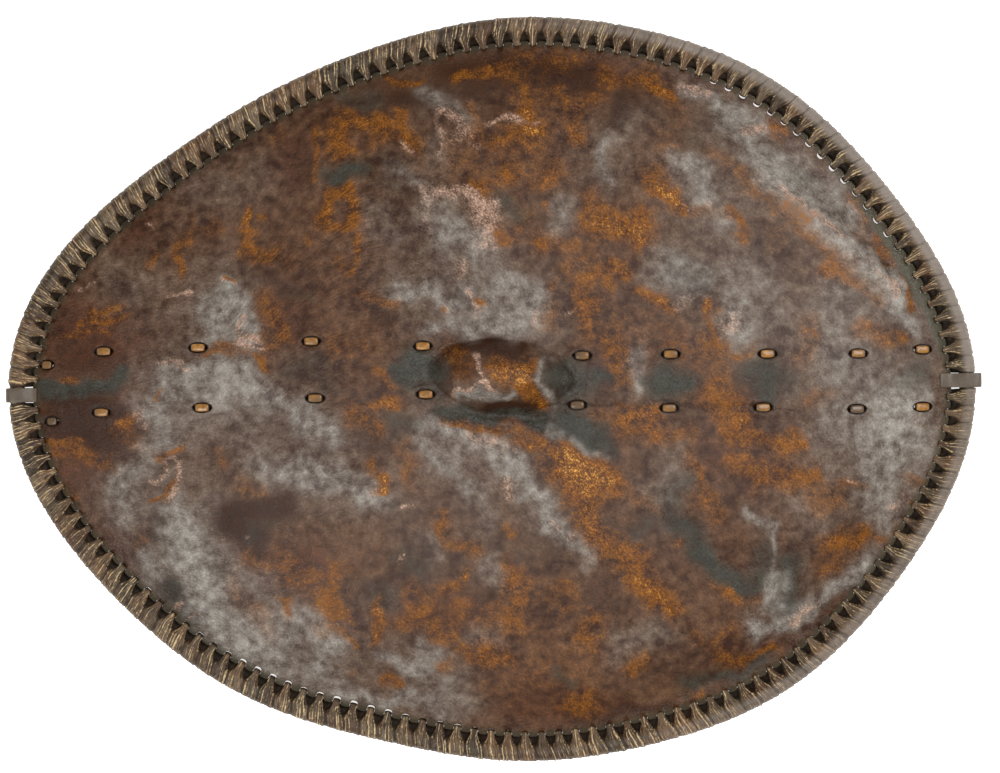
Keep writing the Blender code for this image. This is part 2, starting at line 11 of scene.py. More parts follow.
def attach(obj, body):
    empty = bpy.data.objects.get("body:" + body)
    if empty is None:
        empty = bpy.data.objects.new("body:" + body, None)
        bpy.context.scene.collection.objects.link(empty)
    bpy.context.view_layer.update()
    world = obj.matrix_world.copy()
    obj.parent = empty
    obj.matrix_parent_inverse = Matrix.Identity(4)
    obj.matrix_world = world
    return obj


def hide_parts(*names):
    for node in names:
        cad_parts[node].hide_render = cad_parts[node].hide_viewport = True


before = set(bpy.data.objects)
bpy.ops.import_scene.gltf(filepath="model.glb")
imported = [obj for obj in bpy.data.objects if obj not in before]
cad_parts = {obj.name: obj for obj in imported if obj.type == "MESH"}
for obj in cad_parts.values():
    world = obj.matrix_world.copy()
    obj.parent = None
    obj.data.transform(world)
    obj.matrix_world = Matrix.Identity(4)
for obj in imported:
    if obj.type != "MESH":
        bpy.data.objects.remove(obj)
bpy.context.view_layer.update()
bpy.ops.object.select_all(action="DESELECT")

# ---------------------------------------------------------------- camera
# A long lens, straight above the shield and turned by a degree, so that the shield lies a little off level in
# the view. It stands far off, because the raised middle has to keep its place over the rim.

VIEW_WIDTH = 0.924  # metres across the view, at the height of the rim
VIEW_TURN = math.radians(-0.916)
VIEW_CENTRE = (0.0058, 0.0025)
RIM_LEVEL = 0.009
CAMERA_HEIGHT = 5.0

bpy.ops.object.camera_add(
    location=(*VIEW_CENTRE, RIM_LEVEL + CAMERA_HEIGHT), rotation=(0.0, 0.0, VIEW_TURN)
)
camera = bpy.context.object
camera.name = "camera"
camera.data.lens = camera.data.sensor_width * CAMERA_HEIGHT / VIEW_WIDTH
bpy.context.scene.camera = camera
bpy.context.scene.view_settings.view_transform = "Standard"

# ---------------------------------------------------------------- hide
# One sheet of thick raw hide, stretched while wet into a dome and pressed up in the middle into a boss for
# the hand. Smoke, grease and handling have left it dark brown, worn to orange in patches, with a pale grey
# bloom, which is partly painted reflection. Its edge is pierced for the lacing.

MM = 0.001
RIM_REACH = [
    reach * MM
    for reach in (446, 420, 394, 369, 349, 337, 340, 364, 416, 449, 417, 380, 352, 340, 349, 369, 397, 423)
]
STITCHES = 148
STRAP_LINE_Y = 1.5 * MM
HIDE_THICKNESS = 4.0 * MM
EDGE_INSET = 23.5 * MM  # the hide's edge, in from the outside of the rim
EDGE_HEIGHT = 11.5 * MM
CROWN = 62.0 * MM
DOME_POWER = 3.0
TROUGH = (26.0 * MM, 78.0 * MM)  # the trough beside the lacing lies between these insets
TROUGH_DEPTH = (0.15, 0.85)  # at the narrow end and at the broad end
BOSS_CENTRE = (7.6 * MM, 12.2 * MM)
BOSS_TURN = math.radians(-4.8)
BOSS_HALF_LENGTH = 68.0 * MM
BOSS_HALF_WIDTH = 35.0 * MM
BOSS_POINT = 0.3
BOSS_RISE = 27.0 * MM
BOSS_SLOPES = {"side": 1.05, "narrow": 0.62, "broad": 1.25}
BOSS_SOFTNESS = 3.0 * MM
STAFF_LINE = (
    (-446, 1.5), (-350, 12.5), (-260, 16.0), (-165, 20.0), (-64, 18.5), (80, 7.0), (250, 4.0), (446, 1.5)
)
STAFF_BAND_RISE = 2.5 * MM
STAFF_BAND_HALF = 24.0 * MM

# Broad waves: x, y, half-length, half-width (mm), direction (degrees), height (mm).
WAVES = (
    (318, 132, 105, 26, -43, 5.0),
    (312, 205, 60, 28, -43, -4.0),
    (300, -196, 90, 30, 38, 4.0),
    (232, -170, 60, 26, -48, -4.0),
    (10, -92, 110, 26, -39, 4.5),
    (128, -92, 100, 26, -38, -3.5),
    (-20, 195, 90, 34, -62, 4.0),
    (96, 150, 70, 32, -75, -3.0),
    (175, 170, 80, 30, -60, 3.0),
    (-245, 62, 55, 26, 90, 3.0),
    (-262, -92, 75, 32, 62, 4.5),
    (-180, -100, 70, 34, 75, -4.5),
    (-300, -160, 60, 26, -38, 3.0),
    (-120, -215, 70, 30, 12, 3.0),
    (-105, 110, 60, 34, 80, -3.0),
)

# The thong ties: x and y of the bar in the upper row, x and y of the bar in the lower row (mm).
TIES = (
    (-412, 29.0, -408, -23.0),
    (-358, 40.5, -361, -15.5),
    (-270, 42.5, -267, -12.5),
    (-166, 46.5, -163, -5.5),
    (-64, 40.5, -62, -3.5),
    (81, 29.5, 76, -15.5),
    (162, 29.5, 160, -19.5),
    (251, 28.5, 246, -20.5),
    (335, 27.5, 333, -23.5),
    (396, 30.5, 395, -22.5),
)
TIE_HALF_LENGTH = 5.8 * MM
TIE_END_HALF_LENGTH = 4.0 * MM  # the shorter bars of the tie at the narrow end


def outline_waves(reaches):
    """Cosine and sine parts of the outline, which passes through every given reach."""
    count = len(reaches)
    turns = 2 * np.pi * np.arange(count) / count
    orders = np.arange(count // 2 + 1)
    shares = np.where((orders == 0) | (orders == count // 2), 1.0, 2.0) / count
    cosines = [share * np.sum(reaches * np.cos(order * turns)) for order, share in zip(orders, shares)]
    sines = [share * np.sum(reaches * np.sin(order * turns)) for order, share in zip(orders, shares)]
    return list(zip(orders, cosines, sines))


OUTLINE = outline_waves(np.array(RIM_REACH))


def rim_reach(angle):
    """Distance from the centre to the outside of the rim, and how fast it changes with the angle."""
    reach = sum(
        cosine * np.cos(order * angle) + sine * np.sin(order * angle)
        for order, cosine, sine in OUTLINE
    )
    change = sum(
        order * (sine * np.cos(order * angle) - cosine * np.sin(order * angle))
        for order, cosine, sine in OUTLINE
    )
    return reach, change


def walk_rim(start, end, pieces=1440):
    """Angles from start to end, with the share of the way walked along the rim at each."""
    angles = np.linspace(start, end, pieces + 1)
    reach = rim_reach(angles)[0]
    steps = np.hypot(np.diff(reach * np.cos(angles)), np.diff(reach * np.sin(angles)))
    walked = np.concatenate(([0.0], np.cumsum(steps)))
    return angles, walked / walked[-1], walked[-1]


BROAD_ANGLE = math.asin(STRAP_LINE_Y / rim_reach(0.0)[0])
NARROW_ANGLE = math.pi - math.asin(STRAP_LINE_Y / rim_reach(math.pi)[0])
UPPER_WALK = walk_rim(BROAD_ANGLE, NARROW_ANGLE)
LOWER_WALK = walk_rim(NARROW_ANGLE, BROAD_ANGLE + 2 * math.pi)
PITCH = (UPPER_WALK[2] + LOWER_WALK[2]) / STITCHES


def rim_place(step, inset):
    """x and y at a stitch's place along the rim, in from its outside, counted from the broad end."""
    half = STITCHES / 2
    step = np.mod(step, STITCHES)
    upper = np.interp(step / half, UPPER_WALK[1], UPPER_WALK[0])
    lower = np.interp(step / half - 1.0, LOWER_WALK[1], LOWER_WALK[0])
    angle = np.where(step < half, upper, lower)
    reach, change = rim_reach(angle)
    along_x = np.cos(angle) * change - np.sin(angle) * reach
    along_y = np.sin(angle) * change + np.cos(angle) * reach
    size = np.hypot(along_x, along_y)
    return reach * np.cos(angle) - along_y / size * inset, reach * np.sin(angle) + along_x / size * inset


def smooth_step(low, high, value):
    """Rises smoothly from 0 at low to 1 at high."""
    share = np.clip((value - low) / (high - low), 0.0, 1.0)
    return share * share * (3.0 - 2.0 * share)


def smooth_line(stations, x):
    """Reads a table of x and y in millimetres along a smooth curve: x in metres in, y in metres out."""
    xs = np.array([station[0] * MM for station in stations])
    ys = np.array([station[1] * MM for station in stations])
    x = np.clip(x, xs[0], xs[-1])
    left = np.clip(np.searchsorted(xs, x) - 1, 0, len(xs) - 2)
    slopes = np.empty(len(xs))
    slopes[1:-1] = (ys[2:] - ys[:-2]) / (xs[2:] - xs[:-2])
    slopes[0] = (ys[1] - ys[0]) / (xs[1] - xs[0])
    slopes[-1] = (ys[-1] - ys[-2]) / (xs[-1] - xs[-2])
    span = xs[left + 1] - xs[left]
    share = (x - xs[left]) / span
    rise = share * share * (3.0 - 2.0 * share)
    bend = share * (1.0 - share) ** 2 * slopes[left] + share * share * (share - 1.0) * slopes[left + 1]
    return ys[left] * (1.0 - rise) + ys[left + 1] * rise + bend * span


def rim_inset(x, y):
    """How far in from the outside of the rim a place is."""
    reach, change = rim_reach(np.arctan2(y, x))
    return (reach - np.hypot(x, y)) * reach / np.hypot(reach, change)


def boss_frame(x, y):
    """Place along and across the boss, from its middle."""
    along = x - BOSS_CENTRE[0]
    across = y - BOSS_CENTRE[1]
    cosine = math.cos(BOSS_TURN)
    sine = math.sin(BOSS_TURN)
    return along * cosine + across * sine, across * cosine - along * sine


def boss_foot(turn, share):
    """x and y on the lens-shaped foot of the boss, or on a smaller or larger lens about it."""
    along = BOSS_HALF_LENGTH * share * np.cos(turn)
    across = BOSS_HALF_WIDTH * share * np.sin(turn) * np.abs(np.sin(turn)) ** BOSS_POINT
    cosine = math.cos(BOSS_TURN)
    sine = math.sin(BOSS_TURN)
    return BOSS_CENTRE[0] + along * cosine - across * sine, BOSS_CENTRE[1] + along * sine + across * cosine


def boss_rise(x, y, softness):
    """Height of the boss over the dome: a hipped loaf, with its narrow-end hip drawn out."""
    along, across = boss_frame(x, y)
    inside = np.clip(1.0 - (along / BOSS_HALF_LENGTH) ** 2, 0.0, 1.0)
    half_width = BOSS_HALF_WIDTH * np.sqrt(inside) ** (1.0 + BOSS_POINT)
    slopes = np.stack(
        (
            BOSS_SLOPES["side"] * (half_width - np.abs(across)),
            BOSS_SLOPES["narrow"] * (along + BOSS_HALF_LENGTH),
            BOSS_SLOPES["broad"] * (BOSS_HALF_LENGTH - along),
            np.full_like(along, BOSS_RISE),
        )
    )
    least = slopes.min(axis=0)
    rise = least - softness * np.log(np.exp((least - slopes) / softness).sum(axis=0))
    return np.where(inside > 0.0, np.maximum(0.0, rise), 0.0)


def wave_rise(x, y, waves):
    """Height of waves, each given by x, y, half-length, half-width, direction and height."""
    rise = np.zeros_like(x)
    for wave_x, wave_y, half_length, half_width, direction, height in waves:
        turn = math.radians(direction)
        east = x / MM - wave_x
        north = y / MM - wave_y
        along = (east * math.cos(turn) + north * math.sin(turn)) / half_length
        across = (north * math.cos(turn) - east * math.sin(turn)) / half_width
        rise += height * np.exp(-(along**2) - across**2)
    return rise * MM


def front_height(x, y, softness=BOSS_SOFTNESS):
    """Front of the hide above the floor, without its fine relief."""
    angle = np.arctan2(y, x)
    reach = rim_reach(angle)[0]
    inset = rim_inset(x, y)
    share = np.minimum(1.0, np.hypot(x, y) / (reach - EDGE_INSET))
    from_staff = (y - smooth_line(STAFF_LINE, x)) / STAFF_BAND_HALF
    broadness = 0.5 + 0.5 * np.cos(angle)
    trough_depth = TROUGH_DEPTH[0] + (TROUGH_DEPTH[1] - TROUGH_DEPTH[0]) * broadness
    trough = trough_depth * (1.0 - np.exp(-(from_staff**2)))
    lift = 1.0 - trough * (1.0 - smooth_step(*TROUGH, inset))
    band = STAFF_BAND_RISE / (1.0 + from_staff**6) * smooth_step(EDGE_INSET, 46.0 * MM, inset)
    waves = wave_rise(x, y, WAVES) * smooth_step(EDGE_INSET, TROUGH[1], inset)
    dome = EDGE_HEIGHT + CROWN * (1.0 - share**DOME_POWER) * lift + band + waves
    return dome + boss_rise(x, y, softness)


def back_height(x, y):
    """Back of the hide: its thickness is kept square to the slope."""
    step = 2.0 * MM
    slope_x = (front_height(x + step, y) - front_height(x - step, y)) / (2 * step)
    slope_y = (front_height(x, y + step) - front_height(x, y - step)) / (2 * step)
    return front_height(x, y) - HIDE_THICKNESS * np.sqrt(1.0 + slope_x**2 + slope_y**2)


def noise_at(x, y, size, octaves=3, seed=0.0):
    """Smooth noise from about -1 to 1, with features of a given size in metres."""
    return np.array(
        [
            noise.fractal(Vector((a / size, b / size, seed)), 1.0, 2.0, octaves)
            for a, b in zip(x.tolist(), y.tolist())
        ]
    )


# The patina, with painted light and shade among it, as a finisher would brush it on: each stroke is a
# half-width (mm), a strength, and x and y of the points that it runs through (mm). A stroke with one point is
# a dab.
RUST = (  # the under-layer where the smoked skin has begun to wear: dull orange brown
    (12, 0.4, (-200, 232)),
    (10, 0.4, (-235, 206)),
    (6, 0.5, (-312, 128), (-313, 118)),
    (8, 0.6, (-284, 142), (-288, 128), (-284, 112)),
    (6, 0.5, (-280, 155), (-250, 155)),
    (7, 0.7, (-225, 148), (-222, 130), (-195, 130)),
    (9, 0.4, (-215, 125), (-185, 120)),
    (4, 0.8, (-385, 66), (-370, 73), (-358, 76), (-345, 82)),
    (4, 0.7, (-372, 67), (-350, 66), (-335, 73)),
    (3, 0.7, (-400, 55), (-380, 57), (-352, 54)),
    (4, 0.6, (-162, 252), (-159, 210), (-163, 198)),
    (14, 0.75, (-140, 245), (-136, 222)),
    (10, 0.8, (-128, 249), (-100, 248)),
    (8, 0.45, (-95, 236), (-105, 226)),
    (6, 0.6, (-80, 256), (-79, 246)),
    (8, 0.7, (-82, 235), (-70, 228)),
    (3, 0.7, (-90, 284), (-62, 287)),
    (4, 0.7, (-32, 284), (-22, 292), (0, 295)),
    (6, 0.6, (0, 296), (30, 287), (37, 280), (37, 270)),
    (9, 0.35, (60, 273), (78, 266)),
    (12, 0.7, (30, 253), (38, 238), (20, 232)),
    (7, 0.6, (-14, 258), (-14, 232), (4, 228)),
    (10, 0.7, (80, 252), (80, 234)),
    (9, 0.4, (92, 268), (110, 274)),
    (9, 0.6, (20, 198), (10, 190)),
    (12, 0.5, (50, 186), (58, 197)),
    (7, 0.8, (-12, 189), (2, 178)),
    (8, 0.8, (2, 146), (10, 138)),
    (8, 0.6, (43, 142), (46, 128)),
    (8, 0.45, (28, 158), (25, 138)),
    (6, 0.85, (-150, 186), (-134, 184), (-122, 172), (-119, 160), (-132, 154)),
    (8, 0.8, (-148, 182), (-152, 162), (-145, 152)),
    (7, 0.6, (-118, 142), (-122, 126)),
    (7, 0.6, (-128, 112), (-142, 117)),
    (5, 0.5, (-168, 137)),
    (12, 0.6, (85, 172), (100, 160)),
    (16, 0.8, (100, 150), (130, 150), (136, 130)),
    (12, 0.5, (60, 135), (90, 122), (70, 112)),
    (14, 0.4, (80, 305), (30, 308)),
    (9, 0.6, (110, 290), (130, 284)),
    (11, 0.8, (148, 282), (165, 270)),
    (16, 0.35, (170, 240), (160, 225)),
    (10, 0.8, (150, 192), (160, 178), (172, 168)),
    (8, 0.5, (190, 160), (206, 158)),
    (7, 0.8, (222, 160), (229, 149), (227, 137)),
    (9, 0.4, (205, 215), (215, 205)),
    (10, 0.35, (262, 140), (262, 122)),
    (12, 0.65, (232, 192), (255, 175), (280, 160), (305, 143), (325, 122)),
    (10, 0.5, (285, 148), (305, 128), (318, 108)),
    (8, 0.8, (264, 237), (272, 232)),
    (10, 0.65, (335, 168), (346, 152), (340, 140)),
    (9, 1.0, (356, 126), (366, 114)),
    (5, 0.8, (305, 104), (322, 99), (340, 88), (353, 78)),
    (7, 0.6, (325, 114), (345, 96), (365, 80)),
    (4, 0.9, (372, 92), (386, 82), (393, 68)),
    (9, 0.75, (338, 52), (355, 43), (378, 40)),
    (11, 0.5, (291, 56), (292, 45), (286, 26)),
    (10, 0.7, (205, 52), (203, 36)),
    (6, 0.5, (205, 74), (200, 66)),
    (6, 0.5, (236, 36), (222, 26)),
    (14, 0.75, (206, -4), (216, -22), (228, -36)),
    (12, 0.6, (-208, 80), (-200, 60), (-205, 46)),
    (6, 0.6, (-195, 76), (-190, 50)),
    (5, 0.8, (-258, 38), (-245, 43), (-225, 38), (-203, 27)),
    (5, 0.8, (-350, -32), (-335, -26), (-327, -19)),
    (4, 0.8, (-396, 14), (-380, 14)),
    (3, 0.7, (-366, 14), (-352, 16)),
    (3, 0.8, (-420, -42), (-384, -40)),
    (9, 0.5, (-402, -50), (-375, -55), (-362, -64)),
    (8, 0.5, (-400, -95), (-388, -90)),
    (7, 0.5, (-352, -60), (-345, -66)),
    (10, 0.4, (-340, -40), (-318, -52)),
    (5, 0.7, (-305, -60), (-285, -45)),
    (3, 0.9, (-318, -94), (-300, -85), (-289, -79)),
    (7, 0.6, (-255, -52), (-250, -72)),
    (9, 0.5, (-232, -88), (-214, -88)),
    (6, 0.6, (-12, 84), (-10, 74)),
    (8, 0.7, (52, 84), (56, 70), (50, 58)),
    (5, 0.8, (54, 96)),
    (10, 0.8, (78, 90), (85, 72), (86, 60)),
    (8, 0.6, (88, 100), (100, 104), (116, 106)),
    (7, 0.6, (108, 92)),
    (7, 0.6, (-114, 86), (-90, 80)),
    (12, 0.35, (-142, 38), (-115, 44)),
    (8, 0.6, (-105, 14), (-92, 5)),
    (6, 0.7, (-106, -12), (-86, -10)),
    (11, 0.9, (5, 22), (20, 14), (36, 16), (32, 4), (12, 14)),
    (7, 0.7, (34, -6), (44, -14)),
    (9, 0.55, (-34, 36), (-30, 16)),
    (5, 0.9, (-46, -27), (-15, -35), (0, -38)),
    (9, 0.85, (0, -40), (14, -56)),
    (12, 0.9, (25, -46), (45, -42), (60, -60), (85, -75)),
    (10, 0.6, (-128, -24), (-110, -32)),
    (10, 0.55, (-80, -58), (-78, -76)),
    (6, 0.8, (-112, -66), (-102, -86)),
    (8, 0.9, (138, 90), (148, 80), (156, 72)),
    (7, 0.7, (198, 82), (202, 72)),
    (12, 0.7, (105, 40), (112, 26), (118, 12)),
    (8, 0.6, (172, -12), (192, -10)),
    (10, 0.85, (118, -25), (146, -28)),
    (10, 0.6, (125, -40), (150, -46), (178, -42)),
    (8, 0.6, (92, -26), (98, -32)),
    (9, 0.85, (212, -46), (240, -46), (266, -54), (278, -52)),
    (12, 0.7, (225, -72), (260, -80), (292, -84)),
    (14, 0.9, (60, -66), (78, -84), (110, -90)),
    (8, 0.6, (180, -64), (190, -86)),
    (9, 0.4, (285, -10), (305, -14)),
    (5, 0.7, (322, -92), (336, -92)),
    (12, 0.4, (-330, -112), (-326, -140)),
    (12, 0.5, (-228, -150), (-196, -158)),
    (14, 0.6, (-178, -168), (-162, -190), (-145, -204)),
    (7, 0.7, (-195, -188), (-190, -206)),
    (11, 0.6, (-247, -168), (-240, -190), (-222, -204), (-213, -226)),
    (4, 0.9, (-168, -217), (-150, -220), (-133, -233)),
    (6, 0.85, (-108, -190), (-108, -210), (-112, -228)),
    (9, 0.6, (-142, -160), (-150, -186), (-136, -206)),
    (7, 0.5, (-86, -152), (-92, -162)),
    (10, 0.65, (-76, -184), (-66, -192), (-72, -206), (-88, -216)),
    (8, 0.75, (-51, -116), (-48, -130), (-42, -142), (-22, -148)),
    (6, 0.8, (-28, -168)),
    (6, 0.7, (-50, -181), (-34, -178)),
    (14, 0.55, (-36, -205), (-6, -212)),
    (10, 0.6, (-62, -214), (-44, -226)),
    (8, 0.8, (-14, -235), (-2, -240)),
    (7, 0.75, (-32, -240), (-14, -246), (4, -252)),
    (10, 0.8, (14, -168), (19, -188)),
    (11, 0.7, (8, -204), (15, -218)),
    (6, 0.8, (-49, -252), (-50, -260)),
    (6, 0.8, (-104, -268), (-92, -270)),
    (5, 0.5, (-132, -258)),
    (7, 0.6, (14, -134)),
    (16, 0.95, (66, -72), (78, -98), (86, -122), (98, -144)),
    (14, 0.9, (104, -145), (122, -158), (136, -180), (156, -204)),
    (7, 0.6, (130, -104), (146, -111)),
    (5, 0.7, (165, -146)),
    (9, 0.55, (193, -102), (200, -118)),
    (9, 0.75, (206, -180), (220, -194), (238, -194)),
    (7, 0.6, (180, -225), (192, -236)),
    (8, 0.75, (131, -248), (124, -260)),
    (10, 0.5, (218, -224), (205, -236)),
    (6, 0.8, (206, -252), (235, -249), (256, -245)),
    (3, 0.7, (168, -274), (186, -284)),
    (10, 0.7, (298, -152), (320, -145), (336, -139)),
    (12, 0.5, (300, -110), (315, -104)),
    (10, 0.7, (236, -84), (272, -90)),
    (8, 0.5, (318, -162), (305, -172)),
    (6, 0.75, (386, -112)),
    (4, 0.6, (378, -86), (400, -93)),
    (5, 0.7, (350, -146), (374, -133)),
    (5, 0.6, (384, -30), (396, -36)),
    (30, 0.25, (30, -195), (80, -225)),
    (30, 0.25, (60, -270), (-10, -262)),
    (9, 0.55, (84, -212), (82, -228)),
    (8, 0.5, (62, -182), (58, -194)),
    (10, 0.6, (60, -290), (84, -292)),
    (30, 0.3, (-40, 215), (40, 205)),
    (24, 0.3, (60, 255), (30, 270)),
    (26, 0.3, (110, 60), (150, 45)),
    (22, 0.35, (180, 30), (205, 10)),
)
GOLD = (  # the same, rubbed through to the bright core of the skin
    (4, 0.7, (-313, 124)),
    (4, 0.8, (-283, 114)),
    (3, 1.0, (-222, 170), (-223, 158)),
    (3, 0.6, (-212, 162), (-204, 160)),
    (2, 0.8, (-246, 105), (-232, 105)),
    (3, 0.6, (-368, 66), (-348, 66)),
    (2, 0.5, (-160, 250), (-159, 214)),
    (9, 0.6, (-136, 238), (-134, 226)),
    (6, 0.7, (-120, 249), (-104, 248)),
    (5, 0.7, (-76, 232)),
    (2, 0.6, (-80, 286), (-64, 287)),
    (3, 0.8, (-32, 283), (-27, 288)),
    (8, 1.0, (32, 254)),
    (6, 1.0, (36, 239), (42, 234)),
    (4, 0.5, (-14, 256)),
    (5, 0.9, (81, 235)),
    (4, 0.6, (78, 252)),
    (5, 0.7, (14, 195)),
    (5, 0.5, (56, 190)),
    (4, 0.8, (-10, 187), (0, 180)),
    (5, 0.7, (4, 144)),
    (4, 0.8, (44, 138), (46, 131)),
    (3, 0.6, (56, 169), (50, 164)),
    (4, 0.8, (-132, 182), (-122, 170), (-120, 160)),
    (5, 0.7, (-150, 172), (-150, 160)),
    (4, 0.8, (-119, 136), (-119, 129)),
    (10, 0.85, (104, 150), (134, 150)),
    (7, 0.9, (130, 144), (140, 132)),
    (4, 0.6, (140, 163)),
    (7, 0.8, (152, 278), (166, 270)),
    (6, 1.0, (157, 182), (166, 171), (176, 166)),
    (3, 0.6, (226, 156), (230, 146)),
    (7, 0.5, (268, 168), (292, 152)),
    (4, 0.7, (266, 236)),
    (5, 0.8, (360, 122)),
    (4, 0.6, (345, 48)),
    (6, 0.5, (292, 48)),
    (3, 0.9, (-343, -29), (-330, -23)),
    (2, 0.9, (-312, 0), (-304, 2)),
    (2, 0.9, (-392, 14), (-384, 15)),
    (1.5, 0.8, (-418, -42), (-398, -42)),
    (2, 0.9, (-308, -61), (-286, -46)),
    (3, 0.8, (-49, 79)),
    (4, 0.9, (-12, 82)),
    (4, 0.6, (54, 96)),
    (6, 0.7, (82, 76), (86, 64)),
    (5, 0.7, (84, 98), (98, 102)),
    (6, 0.7, (110, 111), (124, 105)),
    (4, 0.7, (-104, -13), (-90, -11)),
    (9, 1.0, (16, 18), (34, 14), (24, 8)),
    (3, 0.8, (8, 22), (6, 12)),
    (4, 0.8, (36, -4), (42, -12)),
    (3, 0.8, (-36, -30), (-14, -36)),
    (5, 0.8, (28, -48), (44, -44)),
    (9, 1.0, (58, -62), (76, -76)),
    (4, 0.9, (-104, -78), (-101, -90)),
    (3, 1.0, (142, 88), (150, 78), (155, 73)),
    (3, 0.9, (199, 80), (201, 73)),
    (6, 0.8, (122, -26), (142, -28)),
    (5, 0.6, (130, -41), (150, -46)),
    (5, 0.8, (226, -36), (222, -28)),
    (4, 0.7, (262, -53), (276, -51)),
    (9, 1.0, (64, -70), (80, -84), (104, -86)),
    (4, 0.6, (184, -70), (190, -82)),
    (3, 0.8, (-193, -190), (-190, -204)),
    (3, 0.9, (-112, -216), (-112, -226)),
    (3, 0.8, (-108, -192), (-107, -200)),
    (3, 0.8, (-52, -118), (-50, -128)),
    (4, 1.0, (-28, -168)),
    (4, 0.7, (-11, -236), (-4, -239)),
    (4, 0.6, (-8, -248), (0, -252)),
    (5, 0.6, (15, -176)),
    (3, 0.6, (-49, -255)),
    (12, 0.8, (72, -82), (84, -106), (92, -132)),
    (5, 0.9, (132, -172), (146, -190), (159, -206)),
    (4, 0.7, (104, -146), (118, -152)),
    (3, 0.7, (165, -147)),
    (4, 0.6, (214, -190), (226, -197)),
    (3, 0.6, (128, -252)),
    (4, 0.6, (308, -147), (326, -144)),
    (3, 0.8, (246, -246), (255, -245)),
    (5, 0.5, (244, -86), (262, -88)),
)
